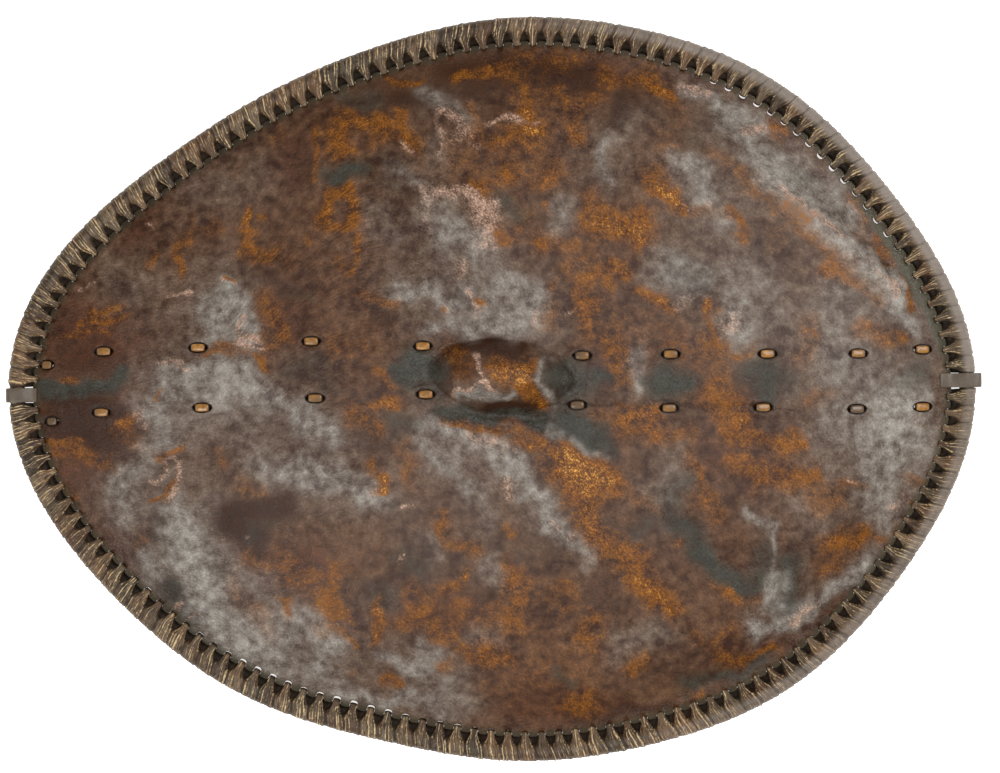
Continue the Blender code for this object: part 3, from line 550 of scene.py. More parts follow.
BLOOM_AND_REFLECTION = (  # a pale grey bloom of old grease
    # Partly real bloom and partly painted reflection: these pale places are where the glossy hide mirrors the
    # lights.
    (9, 0.7, (250, 190), (322, 124), (388, 50)),
    (9, 0.6, (-58, 275), (-40, 262), (-20, 250)),
    (12, 0.4, (-52, 226), (-46, 212)),
    (7, 0.5, (-85, 206), (-66, 192), (-56, 182)),
    (12, 0.75, (-36, 145), (-12, 142), (-8, 128)),
    (16, 0.5, (-60, 165), (-44, 150), (-40, 130)),
    (12, 0.5, (66, 166), (60, 150)),
    (8, 0.6, (101, 226), (96, 214), (106, 192)),
    (14, 0.35, (130, 245), (118, 226)),
    (7, 0.8, (178, 278), (196, 268), (216, 255), (236, 240), (258, 236)),
    (9, 0.6, (210, 250), (226, 236), (240, 226)),
    (14, 0.7, (172, 206), (190, 196), (200, 180)),
    (9, 0.5, (196, 170), (212, 150)),
    (6, 0.9, (250, 190), (268, 177), (288, 164), (306, 150), (326, 134), (345, 117), (360, 98)),
    (5, 0.85, (360, 98), (374, 80), (384, 64), (390, 46)),
    (15, 0.65, (242, 214), (272, 202), (298, 190), (318, 184)),
    (10, 0.5, (318, 165), (330, 150)),
    (8, 0.6, (342, 112), (352, 104)),
    (30, 0.45, (235, 100), (250, 65)),
    (26, 0.5, (318, 72), (312, 30)),
    (30, 0.5, (345, 5), (360, -30)),
    (24, 0.45, (310, -40), (385, -48)),
    (12, 0.65, (218, 70), (224, 48)),
    (13, 0.85, (-241, 94), (-244, 70)),
    (12, 0.65, (-262, 76), (-250, 58)),
    (9, 0.75, (-230, 80), (-222, 58), (-226, 46)),
    (11, 0.75, (-298, 22), (-270, 22), (-240, 26), (-224, 14)),
    (14, 0.75, (-302, 8), (-252, 5), (-215, 0)),
    (12, 0.65, (-312, -14), (-304, -36), (-322, -60), (-345, -80)),
    (10, 0.6, (-200, -8), (-182, -14), (-174, -32)),
    (22, 0.35, (-280, -28), (-230, -35)),
    (15, 0.65, (-212, -70), (-176, -76)),
    (15, 0.6, (-350, -98), (-335, -112)),
    (11, 0.8, (-84, 92), (-52, 92), (-36, 80), (-22, 90)),
    (14, 0.75, (8, 92), (30, 86), (40, 74)),
    (6, 0.8, (46, 88), (48, 74), (46, 58)),
    (8, 0.7, (-62, 58), (-20, 55), (26, 54)),
    (10, 0.6, (-10, 70), (20, 66)),
    (4, 0.9, (-32, -5), (0, -5), (16, -2)),
    (4, 0.8, (50, 26), (46, 12), (47, -2), (56, -16)),
    (9, 0.7, (-58, -30), (-42, -36), (-15, -44), (6, -56)),
    (10, 0.6, (6, -56), (16, -72), (26, -92)),
    (9, 0.75, (-178, -14), (-162, -26), (-150, -42)),
    (15, 0.65, (-172, -74), (-140, -80), (-114, -88)),
    (10, 0.5, (-118, -98), (-100, -104)),
    (4, 0.5, (-62, -58), (-46, -74), (-22, -90)),
    (18, 0.5, (-62, -48), (-40, -62)),
    (8, 0.7, (131, 34), (128, 16), (131, 0)),
    (20, 0.6, (160, 108), (182, 100)),
    (17, 0.9, (-290, -112), (-285, -136), (-274, -166), (-266, -190)),
    (11, 0.7, (-324, -150), (-316, -166)),
    (14, 0.75, (-266, -204), (-246, -220), (-234, -238)),
    (13, 0.65, (-190, -206), (-166, -216), (-156, -232)),
    (5, 0.6, (-155, -224), (-166, -256)),
    (26, 0.45, (-210, -246), (-160, -266)),
    (14, 0.5, (-246, -162), (-238, -166)),
    (7, 0.75, (-110, -244), (-90, -252), (-64, -258)),
    (9, 0.6, (-68, -240), (-54, -246)),
    (8, 0.7, (-150, -284), (-112, -285), (-78, -283)),
    (8, 0.6, (-62, -286), (-52, -294)),
    (16, 0.45, (-40, -272), (-26, -288)),
    (12, 0.4, (-20, -226), (-2, -224)),
    (10, 0.45, (-6, -158), (2, -172)),
    (12, 0.4, (-64, -138), (-52, -148)),
    (8, 0.7, (20, -62), (32, -78), (40, -96), (48, -112), (62, -126)),
    (10, 0.65, (50, -128), (70, -140), (86, -154)),
    (14, 0.4, (-18, -98), (-8, -122)),
    (3, 0.7, (232, -110), (246, -130), (254, -150), (250, -176), (247, -200)),
    (7, 0.9, (240, -226), (262, -220), (284, -213), (302, -198), (322, -184), (342, -164)),
    (12, 0.6, (262, -180), (258, -205)),
    (16, 0.6, (352, -82), (352, -112), (364, -122)),
    (20, 0.3, (290, -130), (270, -112)),
    (24, 0.35, (160, -72), (150, -100)),
    (16, 0.4, (110, -236), (150, -226)),
    (5, 0.6, (48, -33), (70, -51), (96, -66)),
    (14, 0.35, (-105, 165), (-92, 138)),
    (30, 0.3, (-220, 200), (-270, 190)),
    (30, 0.3, (-345, 110), (-320, 95)),
    (24, 0.8, (376, -28), (366, -64)),
    (26, 0.7, (-262, -215), (-215, -232)),
    (20, 0.6, (-292, -128), (-268, -176)),
    (7, 0.9, (256, 186), (305, 150), (345, 118), (380, 75)),
    (12, 0.5, (250, 205), (300, 172), (340, 140)),
    (18, 0.25, (72, 4)),
    (18, 0.2, (-66, 17)),
)
PINK_BLOOM_AND_HIGHLIGHT = (  # the palest bloom, where it was rubbed most
    # Partly real bloom and partly painted highlight, along the crests and on the ridge of the boss.
    (5, 0.8, (-42, 256), (-26, 246)),
    (9, 0.55, (-38, 250), (-22, 238), (-30, 230)),
    (3, 0.7, (-46, 240), (-46, 214)),
    (5, 0.6, (-16, 222)),
    (9, 0.7, (-60, 182), (-32, 179), (-10, 170), (0, 160)),
    (4, 0.9, (-20, 187), (-10, 176), (-2, 164)),
    (10, 0.6, (-6, 152), (-3, 132)),
    (10, 0.45, (-62, 168), (-58, 150)),
    (3, 0.8, (-84, 230), (-72, 222)),
    (4, 0.6, (-22, 115), (-30, 104)),
    (3, 0.9, (-4, 244), (20, 246), (45, 246)),
    (5, 0.8, (178, 280), (198, 268)),
    (5, 0.8, (236, 238), (262, 234)),
    (3, 0.7, (176, 172), (182, 164)),
    (5, 0.6, (200, 166)),
    (3, 0.9, (262, 180), (286, 165), (306, 150), (324, 136)),
    (3, 0.7, (340, 120), (358, 98), (372, 82)),
    (3, 0.7, (316, 186)),
    (4, 0.8, (-229, 72), (-227, 54)),
    (2, 1.0, (-234, 50), (-214, 52)),
    (2, 1.0, (-236, 45), (-212, 46)),
    (3, 0.9, (-248, 104), (-240, 106), (-232, 103)),
    (4, 0.7, (-306, 29), (-284, 33)),
    (3, 0.8, (-290, 24), (-284, 22)),
    (4, 0.6, (-320, -10), (-322, -30)),
    (2, 1.0, (-318, -78), (-305, -72), (-298, -60), (-291, -62)),
    (3, 0.9, (-288, -66), (-287, -80)),
    (4, 1.0, (-302, -95), (-290, -86)),
    (3, 1.0, (-21, 91), (-16, 76)),
    (3, 0.8, (-46, 82), (-44, 74)),
    (4, 0.7, (47, 70), (44, 58)),
    (5, 0.7, (66, 68), (70, 66)),
    (2.5, 1.0, (-22, 32), (-13, 20), (-6, 9), (-2, 0)),
    (2, 0.9, (-40, -3), (-20, 0), (-6, 3)),
    (6, 0.55, (10, -84), (14, -98)),
    (4, 0.7, (-18, -42), (-4, -50)),
    (5, 0.8, (-106, -91)),
    (3, 0.8, (-88, -102), (-78, -104)),
    (8, 0.4, (168, 76), (188, 82)),
    (4, 0.7, (198, 84)),
    (8, 0.6, (222, 66), (218, 54)),
    (3, 0.9, (-296, -195), (-286, -193)),
    (2, 0.8, (-292, -207), (-274, -205)),
    (3, 0.8, (-247, -132)),
    (3, 0.8, (-228, -128)),
    (3, 0.8, (-91, -156), (-87, -150)),
    (5, 0.7, (70, -136), (64, -130)),
    (4, 0.7, (56, -122)),
    (4, 0.7, (270, -218), (296, -203)),
    (3, 0.6, (320, -163), (318, -158)),
    (3, 0.6, (324, -90), (334, -94)),
    (3, 0.7, (300, -72)),
    (4, 0.6, (376, -106), (366, -116)),
    (2, 0.7, (-375, 100), (-360, 104)),
    (2, 0.8, (-318, 158), (-307, 152)),
    (2, 0.7, (-298, 84), (-282, 88)),
)
SLATE = (  # cool dark grey, as soot and grease leave in the hollows
    # Painted shade: the first stroke darkens the lower face of the boss.
    (7, 0.85, (-48, -15), (-6, -25), (42, -24)),
    (10, 0.5, (-138, 272), (-100, 266)),
    (10, 0.75, (-148, 200), (-120, 200)),
    (14, 0.35, (-95, 214), (-88, 188)),
    (10, 0.5, (6, 168), (22, 160)),
    (10, 0.6, (282, 192), (292, 188)),
    (20, 1.0, (-68, 18), (-60, 16)),
    (6, 0.8, (-90, 22), (-80, 20)),
    (21, 1.0, (70, 5)),
    (22, 1.0, (163, 4)),
    (14, 0.7, (240, 10), (262, 6)),
    (10, 0.8, (250, -8)),
    (15, 0.5, (392, 6), (382, 0)),
    (9, 0.9, (-418, 8), (-380, 5), (-352, 10), (-342, 18)),
    (11, 0.6, (52, -32), (75, -45), (105, -58)),
    (14, 0.8, (68, -32), (96, -44)),
    (5, 0.8, (92, 12), (106, 6)),
    (6, 0.6, (134, 8)),
    (18, 0.5, (172, 106), (186, 98)),
    (15, 0.5, (-92, -30), (-76, -36)),
    (12, 0.75, (-308, -180), (-290, -190), (-284, -206)),
    (16, 0.55, (-88, -152), (-70, -162)),
    (11, 0.5, (-116, -182), (-96, -190)),
    (14, 0.75, (168, -124), (188, -150)),
    (11, 0.75, (192, -156), (212, -176), (232, -188)),
    (18, 0.75, (270, -166), (266, -200)),
    (11, 0.55, (240, -150), (240, -176)),
    (9, 0.65, (172, -272), (210, -270), (246, -256)),
    (14, 0.5, (176, -84), (152, -104)),
    (8, 0.5, (90, -108), (100, -120)),
    (12, 0.5, (120, -134), (138, -126)),
    (12, 0.4, (-190, 92), (-172, 86)),
    (12, 0.5, (-180, 20), (-160, 28), (-150, 6)),
    (14, 0.3, (150, 250), (190, 232)),
    (10, 0.4, (-228, -134), (-205, -122)),
    (7, 0.5, (54, -262), (70, -270)),
)
DARK = (  # dark brown, thick with smoke and old grease
    # Painted shade: the first four strokes darken the upper and lower faces of the boss.
    (10, 0.75, (-30, 44), (0, 38), (24, 34)),
    (8, 0.8, (-38, 34), (-34, 20)),
    (9, 1.0, (-52, -22), (0, -22), (42, -26)),
    (5, 0.8, (-8, -12), (34, -14)),
    (11, 0.7, (-384, -20), (-342, -18)),
    (12, 0.7, (-252, -110), (-216, -108), (-188, -105)),
    (15, 0.75, (-242, -115), (-222, -136)),
    (14, 0.5, (-118, -38), (-108, -52)),
    (14, 0.4, (-330, -125), (-326, -140)),
    (8, 0.65, (70, -304), (180, -296)),
    (14, 0.45, (316, -128), (326, -134)),
    (12, 0.4, (320, 95), (335, 80)),
    (8, 0.5, (248, 140), (246, 122)),
    (10, 0.5, (-60, 264), (-80, 268)),
    (10, 0.4, (-20, 272), (20, 276)),
    (24, 0.35, (60, 285), (130, 270)),
    (8, 0.6, (115, 240), (128, 262)),
    (22, 0.35, (-60, 285), (-110, 275)),
    (8, 0.6, (228, 6), (236, -4)),
    (9, 0.6, (-108, 70), (-96, 62)),
    (16, 0.45, (-385, 30), (-350, 28)),
    (10, 0.5, (-345, 100), (-335, 92)),
    (10, 0.6, (-310, -108), (-312, -128)),
    (9, 0.5, (-325, -165), (-335, -150)),
    (26, 0.8, (-398, -14), (-352, -36)),
    (20, 0.6, (-30, 296), (30, 300), (80, 292)),
    (1.6, 0.9, (62, -17), (165, -19), (276, -19)),
    (1.4, 0.6, (-64, -12), (-150, -14), (-260, -16)),
    (14, 0.4, (20, -180), (-20, -190)),
    (10, 0.4, (100, -175), (88, -190)),
)
ROSE = (  # reddish brown smoke colour, on the narrow end and low on the sides
    (34, 0.6, (-392, 60), (-340, 40), (-330, 0)),
    (30, 0.6, (-395, -30), (-360, -60), (-385, -80)),
    (22, 0.6, (-350, -130), (-335, -165)),
    (30, 0.6, (-175, -165), (-225, -160)),
    (26, 0.5, (-200, 60), (-195, 85)),
    (18, 0.5, (-180, 225), (-185, 205)),
    (20, 0.5, (-330, 150), (-310, 195), (-270, 205)),
    (28, 0.4, (20, 300), (110, 295)),
    (20, 0.5, (110, 30), (180, 30)),
    (22, 0.5, (250, -80), (205, -65)),
    (16, 0.5, (-30, 24), (-34, 34)),
    (28, 0.4, (-70, -200), (-20, -215)),
    (26, 0.4, (90, -300), (10, -285)),
    (12, 0.6, (230, -248), (300, -225), (345, -180)),
)


def stroke_strength(strokes, x, y):
    """How strongly brushed strokes cover a place, given in millimetres."""
    bare = np.ones_like(x)
    for half_width, strength, *line in strokes:
        nearest = np.full_like(x, 1e9)
        for start, end in zip(line, line[1:] or line):
            span_x, span_y = end[0] - start[0], end[1] - start[1]
            along = ((x - start[0]) * span_x + (y - start[1]) * span_y) / max(span_x**2 + span_y**2, 1e-9)
            along = np.clip(along, 0.0, 1.0)
            nearest = np.minimum(
                nearest, np.hypot(x - start[0] - along * span_x, y - start[1] - along * span_y)
            )
        bare *= 1.0 - strength * (1.0 - smooth_step(0.0, 1.9, nearest / half_width))
    return 1.0 - bare


WANDER = 10.0  # mm that a brushed edge strays
WANDER_SIZE = 27 * MM


def brushed(x, y):
    """Places in millimetres, shifted a little to and fro so that brushed edges wander."""
    return (
        x / MM + WANDER * noise_at(x, y, WANDER_SIZE, 2, 11.0),
        y / MM + WANDER * noise_at(x, y, WANDER_SIZE, 2, 17.0),
    )


# Creases and ridges: x and y of three points on the line, half-width and height (mm); a crease has a negative
# height.
CREASES = (
    (-56, 37, 5, 46, 66, 28, 2.2, -1.6),  # along the upper foot of the boss
    (-62, -9, 20, -26, 74, -20, 2.4, -1.8),  # along its lower foot
    (-40, -20, 22, -33, 58, -29, 1.6, 1.0),
    (-28, -26, 22, -38, 52, -35, 1.2, -0.8),
    (-22, 27, -12, 12, -6, 4, 2.0, 0.9),  # ridge between its top and the narrow-end hip
    (-52, -6, -24, 1, 12, 0, 2.4, 0.9),  # ledge along its lower side
    (50, 26, 41, 4, 62, -16, 2.6, 1.0),  # curved edge at the broad end
    (-318, -98, -304, -72, -286, -57, 3.0, 1.3),  # fold at the narrow end
    (-324, -96, -308, -70, -290, -53, 2.0, -1.0),
    (-355, -104, -318, -80, -294, -55, 1.6, -0.8),
    (-336, -38, -326, -30, -316, -24, 1.6, -0.5),
    (-290, -206, -284, -212, -278, -204, 2.0, -0.9),
    (216, 238, 262, 224, 308, 208, 1.0, -0.4),
    (232, 206, 285, 165, 330, 131, 9.0, 2.6),  # crest round the upper broad end
    (318, 141, 362, 100, 392, 45, 9.0, 3.0),
    (338, 140, 361, 115, 376, 82, 4.0, -1.8),  # crease outside it
    (250, -216, 300, -200, 340, -165, 8.0, 2.0),  # crest round the lower broad end
    (230, -108, 256, -150, 246, -202, 4.0, 1.2),
    (-352, 60, -300, 82, -255, 100, 8.0, 1.6),
    (-246, 74, -242, 104, -226, 62, 4.0, 1.0),
    (62, -17, 165, -19, 272, -19, 1.4, -0.8),  # edge of the band over the staff
)
CREASE_STEPS = 16  # straight pieces that a bent crease is measured in


def crease_rise(x, y):
    """Height of the creases: each is a bent line with a rounded section."""
    rise = np.zeros_like(x)
    for ax, ay, bx, by, cx, cy, half_width, height in CREASES:
        nearest = np.full_like(x, 1e9)
        fade = np.zeros_like(x)
        for step in range(CREASE_STEPS + 1):
            share = step / CREASE_STEPS
            # the shares of the three points, in a curve that runs through the middle one
            first = (1 - share) * (1 - 2 * share)
            middle = 4 * share * (1 - share)
            last = share * (2 * share - 1)
            line_x = first * ax + middle * bx + last * cx
            line_y = first * ay + middle * by + last * cy
            if step:
                span_x = line_x - last_x
                span_y = line_y - last_y
                along = ((x / MM - last_x) * span_x + (y / MM - last_y) * span_y) / (span_x**2 + span_y**2)
                along = np.clip(along, 0.0, 1.0)
                away = np.hypot(x / MM - last_x - along * span_x, y / MM - last_y - along * span_y)
                place = (step - 1 + along) / CREASE_STEPS
                closer = away < nearest
                fade = np.where(closer, np.sin(np.pi * place) ** 0.6, fade)
                nearest = np.minimum(nearest, away)
            last_x, last_y = line_x, line_y
        rise += height * fade * np.exp(-((nearest / half_width) ** 2))
    return rise * MM


def tie_bars():
    """x, y and half-length of every bar of the ties."""
    for tie in TIES:
        half = TIE_END_HALF_LENGTH if tie is TIES[0] else TIE_HALF_LENGTH
        yield tie[0] * MM, tie[1] * MM, half
        yield tie[2] * MM, tie[3] * MM, half


FACE_SOFTNESS = 1.6 * MM  # the boss is crisper here than in the solid
# The sheen is a painted reflection: a thin grey halo round each pale place.
SHEEN_SPREAD = 2.6  # the thin bloom round each pale place reaches this much further
SHEEN_STRENGTH = 0.6
SHEEN = [
    (SHEEN_SPREAD * half_width, SHEEN_STRENGTH * strength, *line)
    for half_width, strength, *line in BLOOM_AND_REFLECTION
]
PATINA_AND_PAINTED_LIGHT = {
    "rust": RUST,
    "gold": GOLD,
    "sheen": SHEEN,
    "bloom_and_reflection": BLOOM_AND_REFLECTION,
    "pink_bloom_and_highlight": PINK_BLOOM_AND_HIGHLIGHT,
    "slate": SLATE,
    "dark": DARK,
    "rose": ROSE,
}
# How far each colour of the patina stands proud or lies low (mm), since the high parts are the ones that get
# rubbed; the pale places that carry painted reflection stand proud as well.
PATINA_RISE = {"bloom_and_reflection": 1.6, "rust": 0.5, "pink_bloom_and_highlight": 0.7, "slate": -1.3, "dark": -0.5}


def patina_and_painted_light(x, y):
    """The strength of every colour of the patina and of the painted light at each place."""
    places = brushed(x, y)
    return {name: stroke_strength(strokes, *places) for name, strokes in PATINA_AND_PAINTED_LIGHT.items()}


def fine_relief(x, y, strengths):
    """Relief on the front: creases, the pull of the ties, dents and wrinkles, and the patina's own rise."""
    rise = crease_rise(x, y)
    for bar_x, bar_y, half in tie_bars():
        away = np.hypot((x - bar_x) / (half + 4.5 * MM), (y - bar_y) / (6.5 * MM))
        rise += 0.9 * MM * np.exp(-(((away - 1.15) / 0.30) ** 2)) - 0.8 * MM * np.exp(-((away / 0.8) ** 4))
    inset = rim_inset(x, y)
    inland = smooth_step(EDGE_INSET, 60.0 * MM, inset)
    rise += inland * 1.3 * MM * noise_at(x, y, 40.0 * MM, 4, 3.0)
    rise += inland * 0.22 * MM * noise_at(x * 0.6, y, 9.0 * MM, 2, 8.0)
    near_edge = smooth_step(EDGE_INSET, 40.0 * MM, inset)
    for name, height in PATINA_RISE.items():
        rise += near_edge * height * MM * strengths[name]
    return rise


EDGE_PLACES = (  # half of a scallop of the edge: distance from a stitch and inset (mm)
    (0.6, 28.5),
    (1.9, 28.3),
    (3.1, 27.5),
    (3.75, 26.2),
    (3.95, 24.8),
    (4.9, 23.7),
    (6.3, 23.4),
    (7.8, 23.5),
)
SLIT_LENGTH = 2.4  # mm that a hole reaches beyond its stitch, where it is seen through


def slit_share(stitch):
    """How far open a hole is beyond its stitch: widest at the upper broad end and the lower narrow end."""
    spread = noise.noise(Vector((stitch * 0.37, 4.2, 0.0)))
    upper_broad = math.exp(-(((stitch - 17) / 13) ** 2))
    lower_narrow = math.exp(-(((stitch - 99) / 11) ** 2))
    return max(0.0, min(1.0, max(upper_broad, lower_narrow) * 1.1 + spread * 0.7 - 0.25))


def edge_ring():
    """x and y round the scalloped and pierced edge, 16 places for each stitch."""
    steps = []
    insets = []
    for stitch in range(STITCHES):
        strap = stitch % (STITCHES // 2) == 0
        slit = 0.0 if strap else SLIT_LENGTH * slit_share(stitch)
        for side in (-1, 1):
            places = EDGE_PLACES[::-1] if side < 0 else EDGE_PLACES
            for place, (distance, inset) in enumerate(places):
                inner = place >= 5 if side < 0 else place < 3
                steps.append(stitch + side * distance * MM / PITCH)
                insets.append(EDGE_INSET if strap else (inset + (slit if inner else 0.0)) * MM)
    return np.array(steps), np.array(insets)


def even_steps(per_stitch):
    """Places round the rim, evenly spaced about each stitch."""
    return (np.arange(STITCHES * per_stitch) + 0.5) / per_stitch - 0.5


def inner_rings(starts, dome_rings, halved_from, boss_rings):
    """Rings from the last ring along the rim to the foot of the boss, then up the boss."""
    lenses = []
    for start in starts:
        aspect = start[0].max() / start[1].max()
        turns = np.arctan2((start[1] - BOSS_CENTRE[1]) * aspect, start[0] - BOSS_CENTRE[0]) - BOSS_TURN
        lenses.append(turns)
    rings = []
    for ring in range(1, dome_rings + 1):
        share = ring / dome_rings
        which = 0 if share < halved_from else len(starts) - 1
        foot = boss_foot(lenses[which], 1.0)
        rings.append(tuple(a * (1.0 - share) + b * share for a, b in zip(starts[which], foot)))
    rings += [boss_foot(lenses[-1], 1.0 - ring / boss_rings) for ring in range(1, boss_rings)]
    return rings


def bridge_rings(first, second):
    """Faces between two closed rings of vertex numbers. The second has as many as the first, or half."""
    faces = []
    count = len(first)
    if len(second) == count:
        for index in range(count):
            after = (index + 1) % count
            faces.append((first[index], first[after], second[after], second[index]))
        return faces
    for index in range(len(second)):
        left, right = first[2 * index], first[2 * index + 1]
        after = (index + 1) % len(second)
        faces.append((left, right, second[index]))
        faces.append((right, first[(2 * index + 2) % count], second[after], second[index]))
    return faces


def rows_of(rings):
    """Vertex numbers of rings that follow one another."""
    rows = []
    first = 0
    for ring in rings:
        rows.append(list(range(first, first + len(ring[0]))))
        first += len(ring[0])
    return rows, first


def add_piece(name, points, faces):
    """A new smooth object from points and faces."""
    mesh = bpy.data.meshes.new(name)
    mesh.from_pydata(np.asarray(points).tolist(), [], faces)
    mesh.update()
    mesh.shade_smooth()
    piece = bpy.data.objects.new(name, mesh)
    bpy.context.scene.collection.objects.link(piece)
    return piece


def paint(piece, name, values):
    """A value at every vertex, which a material reads."""
    attribute = piece.data.attributes.new(name, "FLOAT", "POINT")
    attribute.data.foreach_set("value", np.asarray(values, dtype=np.float32))


# Rings of the sheet inside its scalloped edge: places for each stitch, and inset (mm). They thin out inwards.
EDGE_COUNT = 2 * len(EDGE_PLACES)
NEAR_EDGE = 32.2 * MM  # the first ring of the front, where the scallops are half smoothed out
FRONT_RINGS = (
    *((8, inset) for inset in (33.6, 35.4, 37.6, 40.2)),
    *((4, inset) for inset in (43, 46, 49, 52, 55, 58.5, 62)),
)
BACK_RINGS = ((8, 32.2), (4, 37), (2, 44), (2, 53))
INLAND = 62 * MM  # the last ring that runs along the rim
edge_steps, edge_insets = edge_ring()
edge = rim_place(edge_steps, edge_insets)
front_rings = [edge, rim_place(0.5 * (edge_steps + even_steps(EDGE_COUNT)), NEAR_EDGE)]
front_rings += [rim_place(even_steps(count), inset * MM) for count, inset in FRONT_RINGS]
starts = (rim_place(even_steps(4), INLAND), rim_place(even_steps(2), INLAND))
front_rings += inner_rings(starts, dome_rings=98, halved_from=0.55, boss_rings=26)
back_rings = [edge] + [rim_place(even_steps(count), inset * MM) for count, inset in BACK_RINGS]
back_rings += inner_rings((starts[1],), dome_rings=34, halved_from=0.0, boss_rings=8)

front_x, front_y = (
    np.concatenate([ring[axis] for ring in front_rings] + [[BOSS_CENTRE[axis]]]) for axis in (0, 1)
)
back_x, back_y = (
    np.concatenate([ring[axis] for ring in back_rings] + [[BOSS_CENTRE[axis]]]) for axis in (0, 1)
)
relief = fine_relief(front_x, front_y, patina_and_painted_light(front_x, front_y))
front_z = front_height(front_x, front_y, FACE_SOFTNESS) + relief
back_z = back_height(back_x, back_y) + 0.35 * MM * noise_at(back_x, back_y, 26.0 * MM, 2, 5.0)
points = np.column_stack(
    (np.concatenate((front_x, back_x)), np.concatenate((front_y, back_y)), np.concatenate((front_z, back_z)))
)
front_rows, front_count = rows_of(front_rings)
back_rows, back_count = rows_of(back_rings)
first_back = front_count + 1
back_rows = [[vertex + first_back for vertex in row] for row in back_rows]
faces = []
for outer, inner in zip(front_rows, front_rows[1:]):
    faces += bridge_rings(outer, inner)
faces += [(a, b, front_count) for a, b in zip(front_rows[-1], front_rows[-1][1:] + front_rows[-1][:1])]
for outer, inner in zip(back_rows, back_rows[1:]):
    faces += [face[::-1] for face in bridge_rings(outer, inner)]
last_back = first_back + back_count
faces += [(b, a, last_back) for a, b in zip(back_rows[-1], back_rows[-1][1:] + back_rows[-1][:1])]
faces += [face[::-1] for face in bridge_rings(front_rows[0], back_rows[0])]
hide = add_piece("hide_sheet", points, faces)

# The legs of the ties go through holes, which open a little beyond the ends of each bar.
HOLE_RADIUS = 2.5 * MM
HOLE_SIDES = 14
BEYOND_BAR = 0.1 * MM  # from the end of a bar to the middle of its hole
HOLE_FLOOR = 0.9 * MM  # the holes are filled by their thongs, so each ends a little above the hide's back
HOLE_DEPTH = 12.0 * MM
cutters = []
for bar_x, bar_y, half in tie_bars():
    for side in (-1.0, 1.0):
        hole_x = bar_x + side * (half + BEYOND_BAR)
        low = float(back_height(np.array([hole_x]), np.array([bar_y]))[0]) + HOLE_FLOOR
        place = (hole_x, bar_y, low + HOLE_DEPTH / 2)
        bpy.ops.mesh.primitive_cylinder_add(
            vertices=HOLE_SIDES, radius=HOLE_RADIUS, depth=HOLE_DEPTH, location=place
        )
        cutters.append(bpy.context.object)
bpy.ops.object.select_all(action="DESELECT")
for cutter in cutters:
    cutter.select_set(True)
bpy.context.view_layer.objects.active = cutters[0]
bpy.ops.object.join()
cutter = bpy.context.object
bpy.ops.object.select_all(action="DESELECT")
hide.select_set(True)
bpy.context.view_layer.objects.active = hide
holes = hide.modifiers.new("holes", "BOOLEAN")
holes.operation = "DIFFERENCE"
holes.solver = "EXACT"
holes.object = cutter
bpy.ops.object.modifier_apply(modifier="holes")
bpy.data.objects.remove(cutter)

coordinates = np.empty(len(hide.data.vertices) * 3)
hide.data.vertices.foreach_get("co", coordinates)
x, y, z = coordinates.reshape(-1, 3).T
strengths = patina_and_painted_light(x, y)
for name, values in strengths.items():
    paint(hide, name, values)
behind = front_height(x, y, FACE_SOFTNESS) + fine_relief(x, y, strengths) - z
inset = rim_inset(x, y)
# Fine wrinkles run round the boss and fade out on both sides of its foot.
FOLLOWS_BOSS = 26.0  # mm from the foot of the boss that its wrinkles reach
along, across = boss_frame(x, y)
from_boss = np.hypot(along / BOSS_HALF_LENGTH, across / (BOSS_HALF_WIDTH * 0.9)) - 1.0
paint(hide, "wrinkle_ring", from_boss * BOSS_HALF_WIDTH / MM)
paint(hide, "wrinkle_share", 1.0 - smooth_step(0.0, FOLLOWS_BOSS, np.abs(from_boss) * BOSS_HALF_WIDTH / MM))
# Beside the lacing the hide is a dull olive grey, in an uneven band that is widest at the upper broad end.
FLANGE_START = 24.0  # mm in from the outside of the rim
FLANGE_WIDTH = 3.5  # mm
FLANGE_WIDENING = 8.5  # mm more, where it is widest
FLANGE_TURN = 0.26  # radians round from the broad end to where it is widest, and how far the widening spreads
from_widest = np.angle(np.exp(1j * (np.arctan2(y, x) - FLANGE_TURN)))
flange_width = FLANGE_WIDTH + FLANGE_WIDENING * np.exp(-((from_widest / FLANGE_TURN) ** 2))
past_flange = (inset / MM - FLANGE_START) - flange_width - 1.5 * noise_at(x, y, 22 * MM, 4, 11.0)
paint(hide, "flange", 1.0 - smooth_step(-1.0, 1.0, past_flange))
# How far a place is from the nearest bar, where 1 is the dark outline round it: painted shade on the inner
# slope of the ridge round each bar.
FAR_FROM_BARS = 3.0
ring = np.full_like(x, FAR_FROM_BARS)
for bar_x, bar_y, half in tie_bars():
    ring = np.minimum(ring, np.hypot((x - bar_x) / (half + 4.0 * MM), (y - bar_y) / (5.2 * MM)))
paint(hide, "tie_ring", ring)
normals = np.empty(len(hide.data.vertices) * 3)
hide.data.vertices.foreach_get("normal", normals)
faces_down = smooth_step(0.0, 0.4, -normals.reshape(-1, 3)[:, 2])
# The walls of the tie holes are painted near black, as shade.
paint(hide, "pit", smooth_step(0.6 * MM, 1.4 * MM, behind) * (ring < 1.6) * (1.0 - faces_down))
paint(hide, "inner_side", faces_down)


def linear(colour):
    """An sRGB hex colour as linear values."""
    values = [int(colour[start : start + 2], 16) / 255 for start in (1, 3, 5)]
    shades = [
        value / 12.92 if value <= 0.04045 else ((value + 0.055) / 1.055) ** 2.4
        for value in values
    ]
    return (*shades, 1.0)


def new_material(name):
    """A material with an empty node tree but for its shader and output."""
    material = bpy.data.materials.new(name)
    material.use_nodes = True
    return material, material.node_tree.nodes["Principled BSDF"]


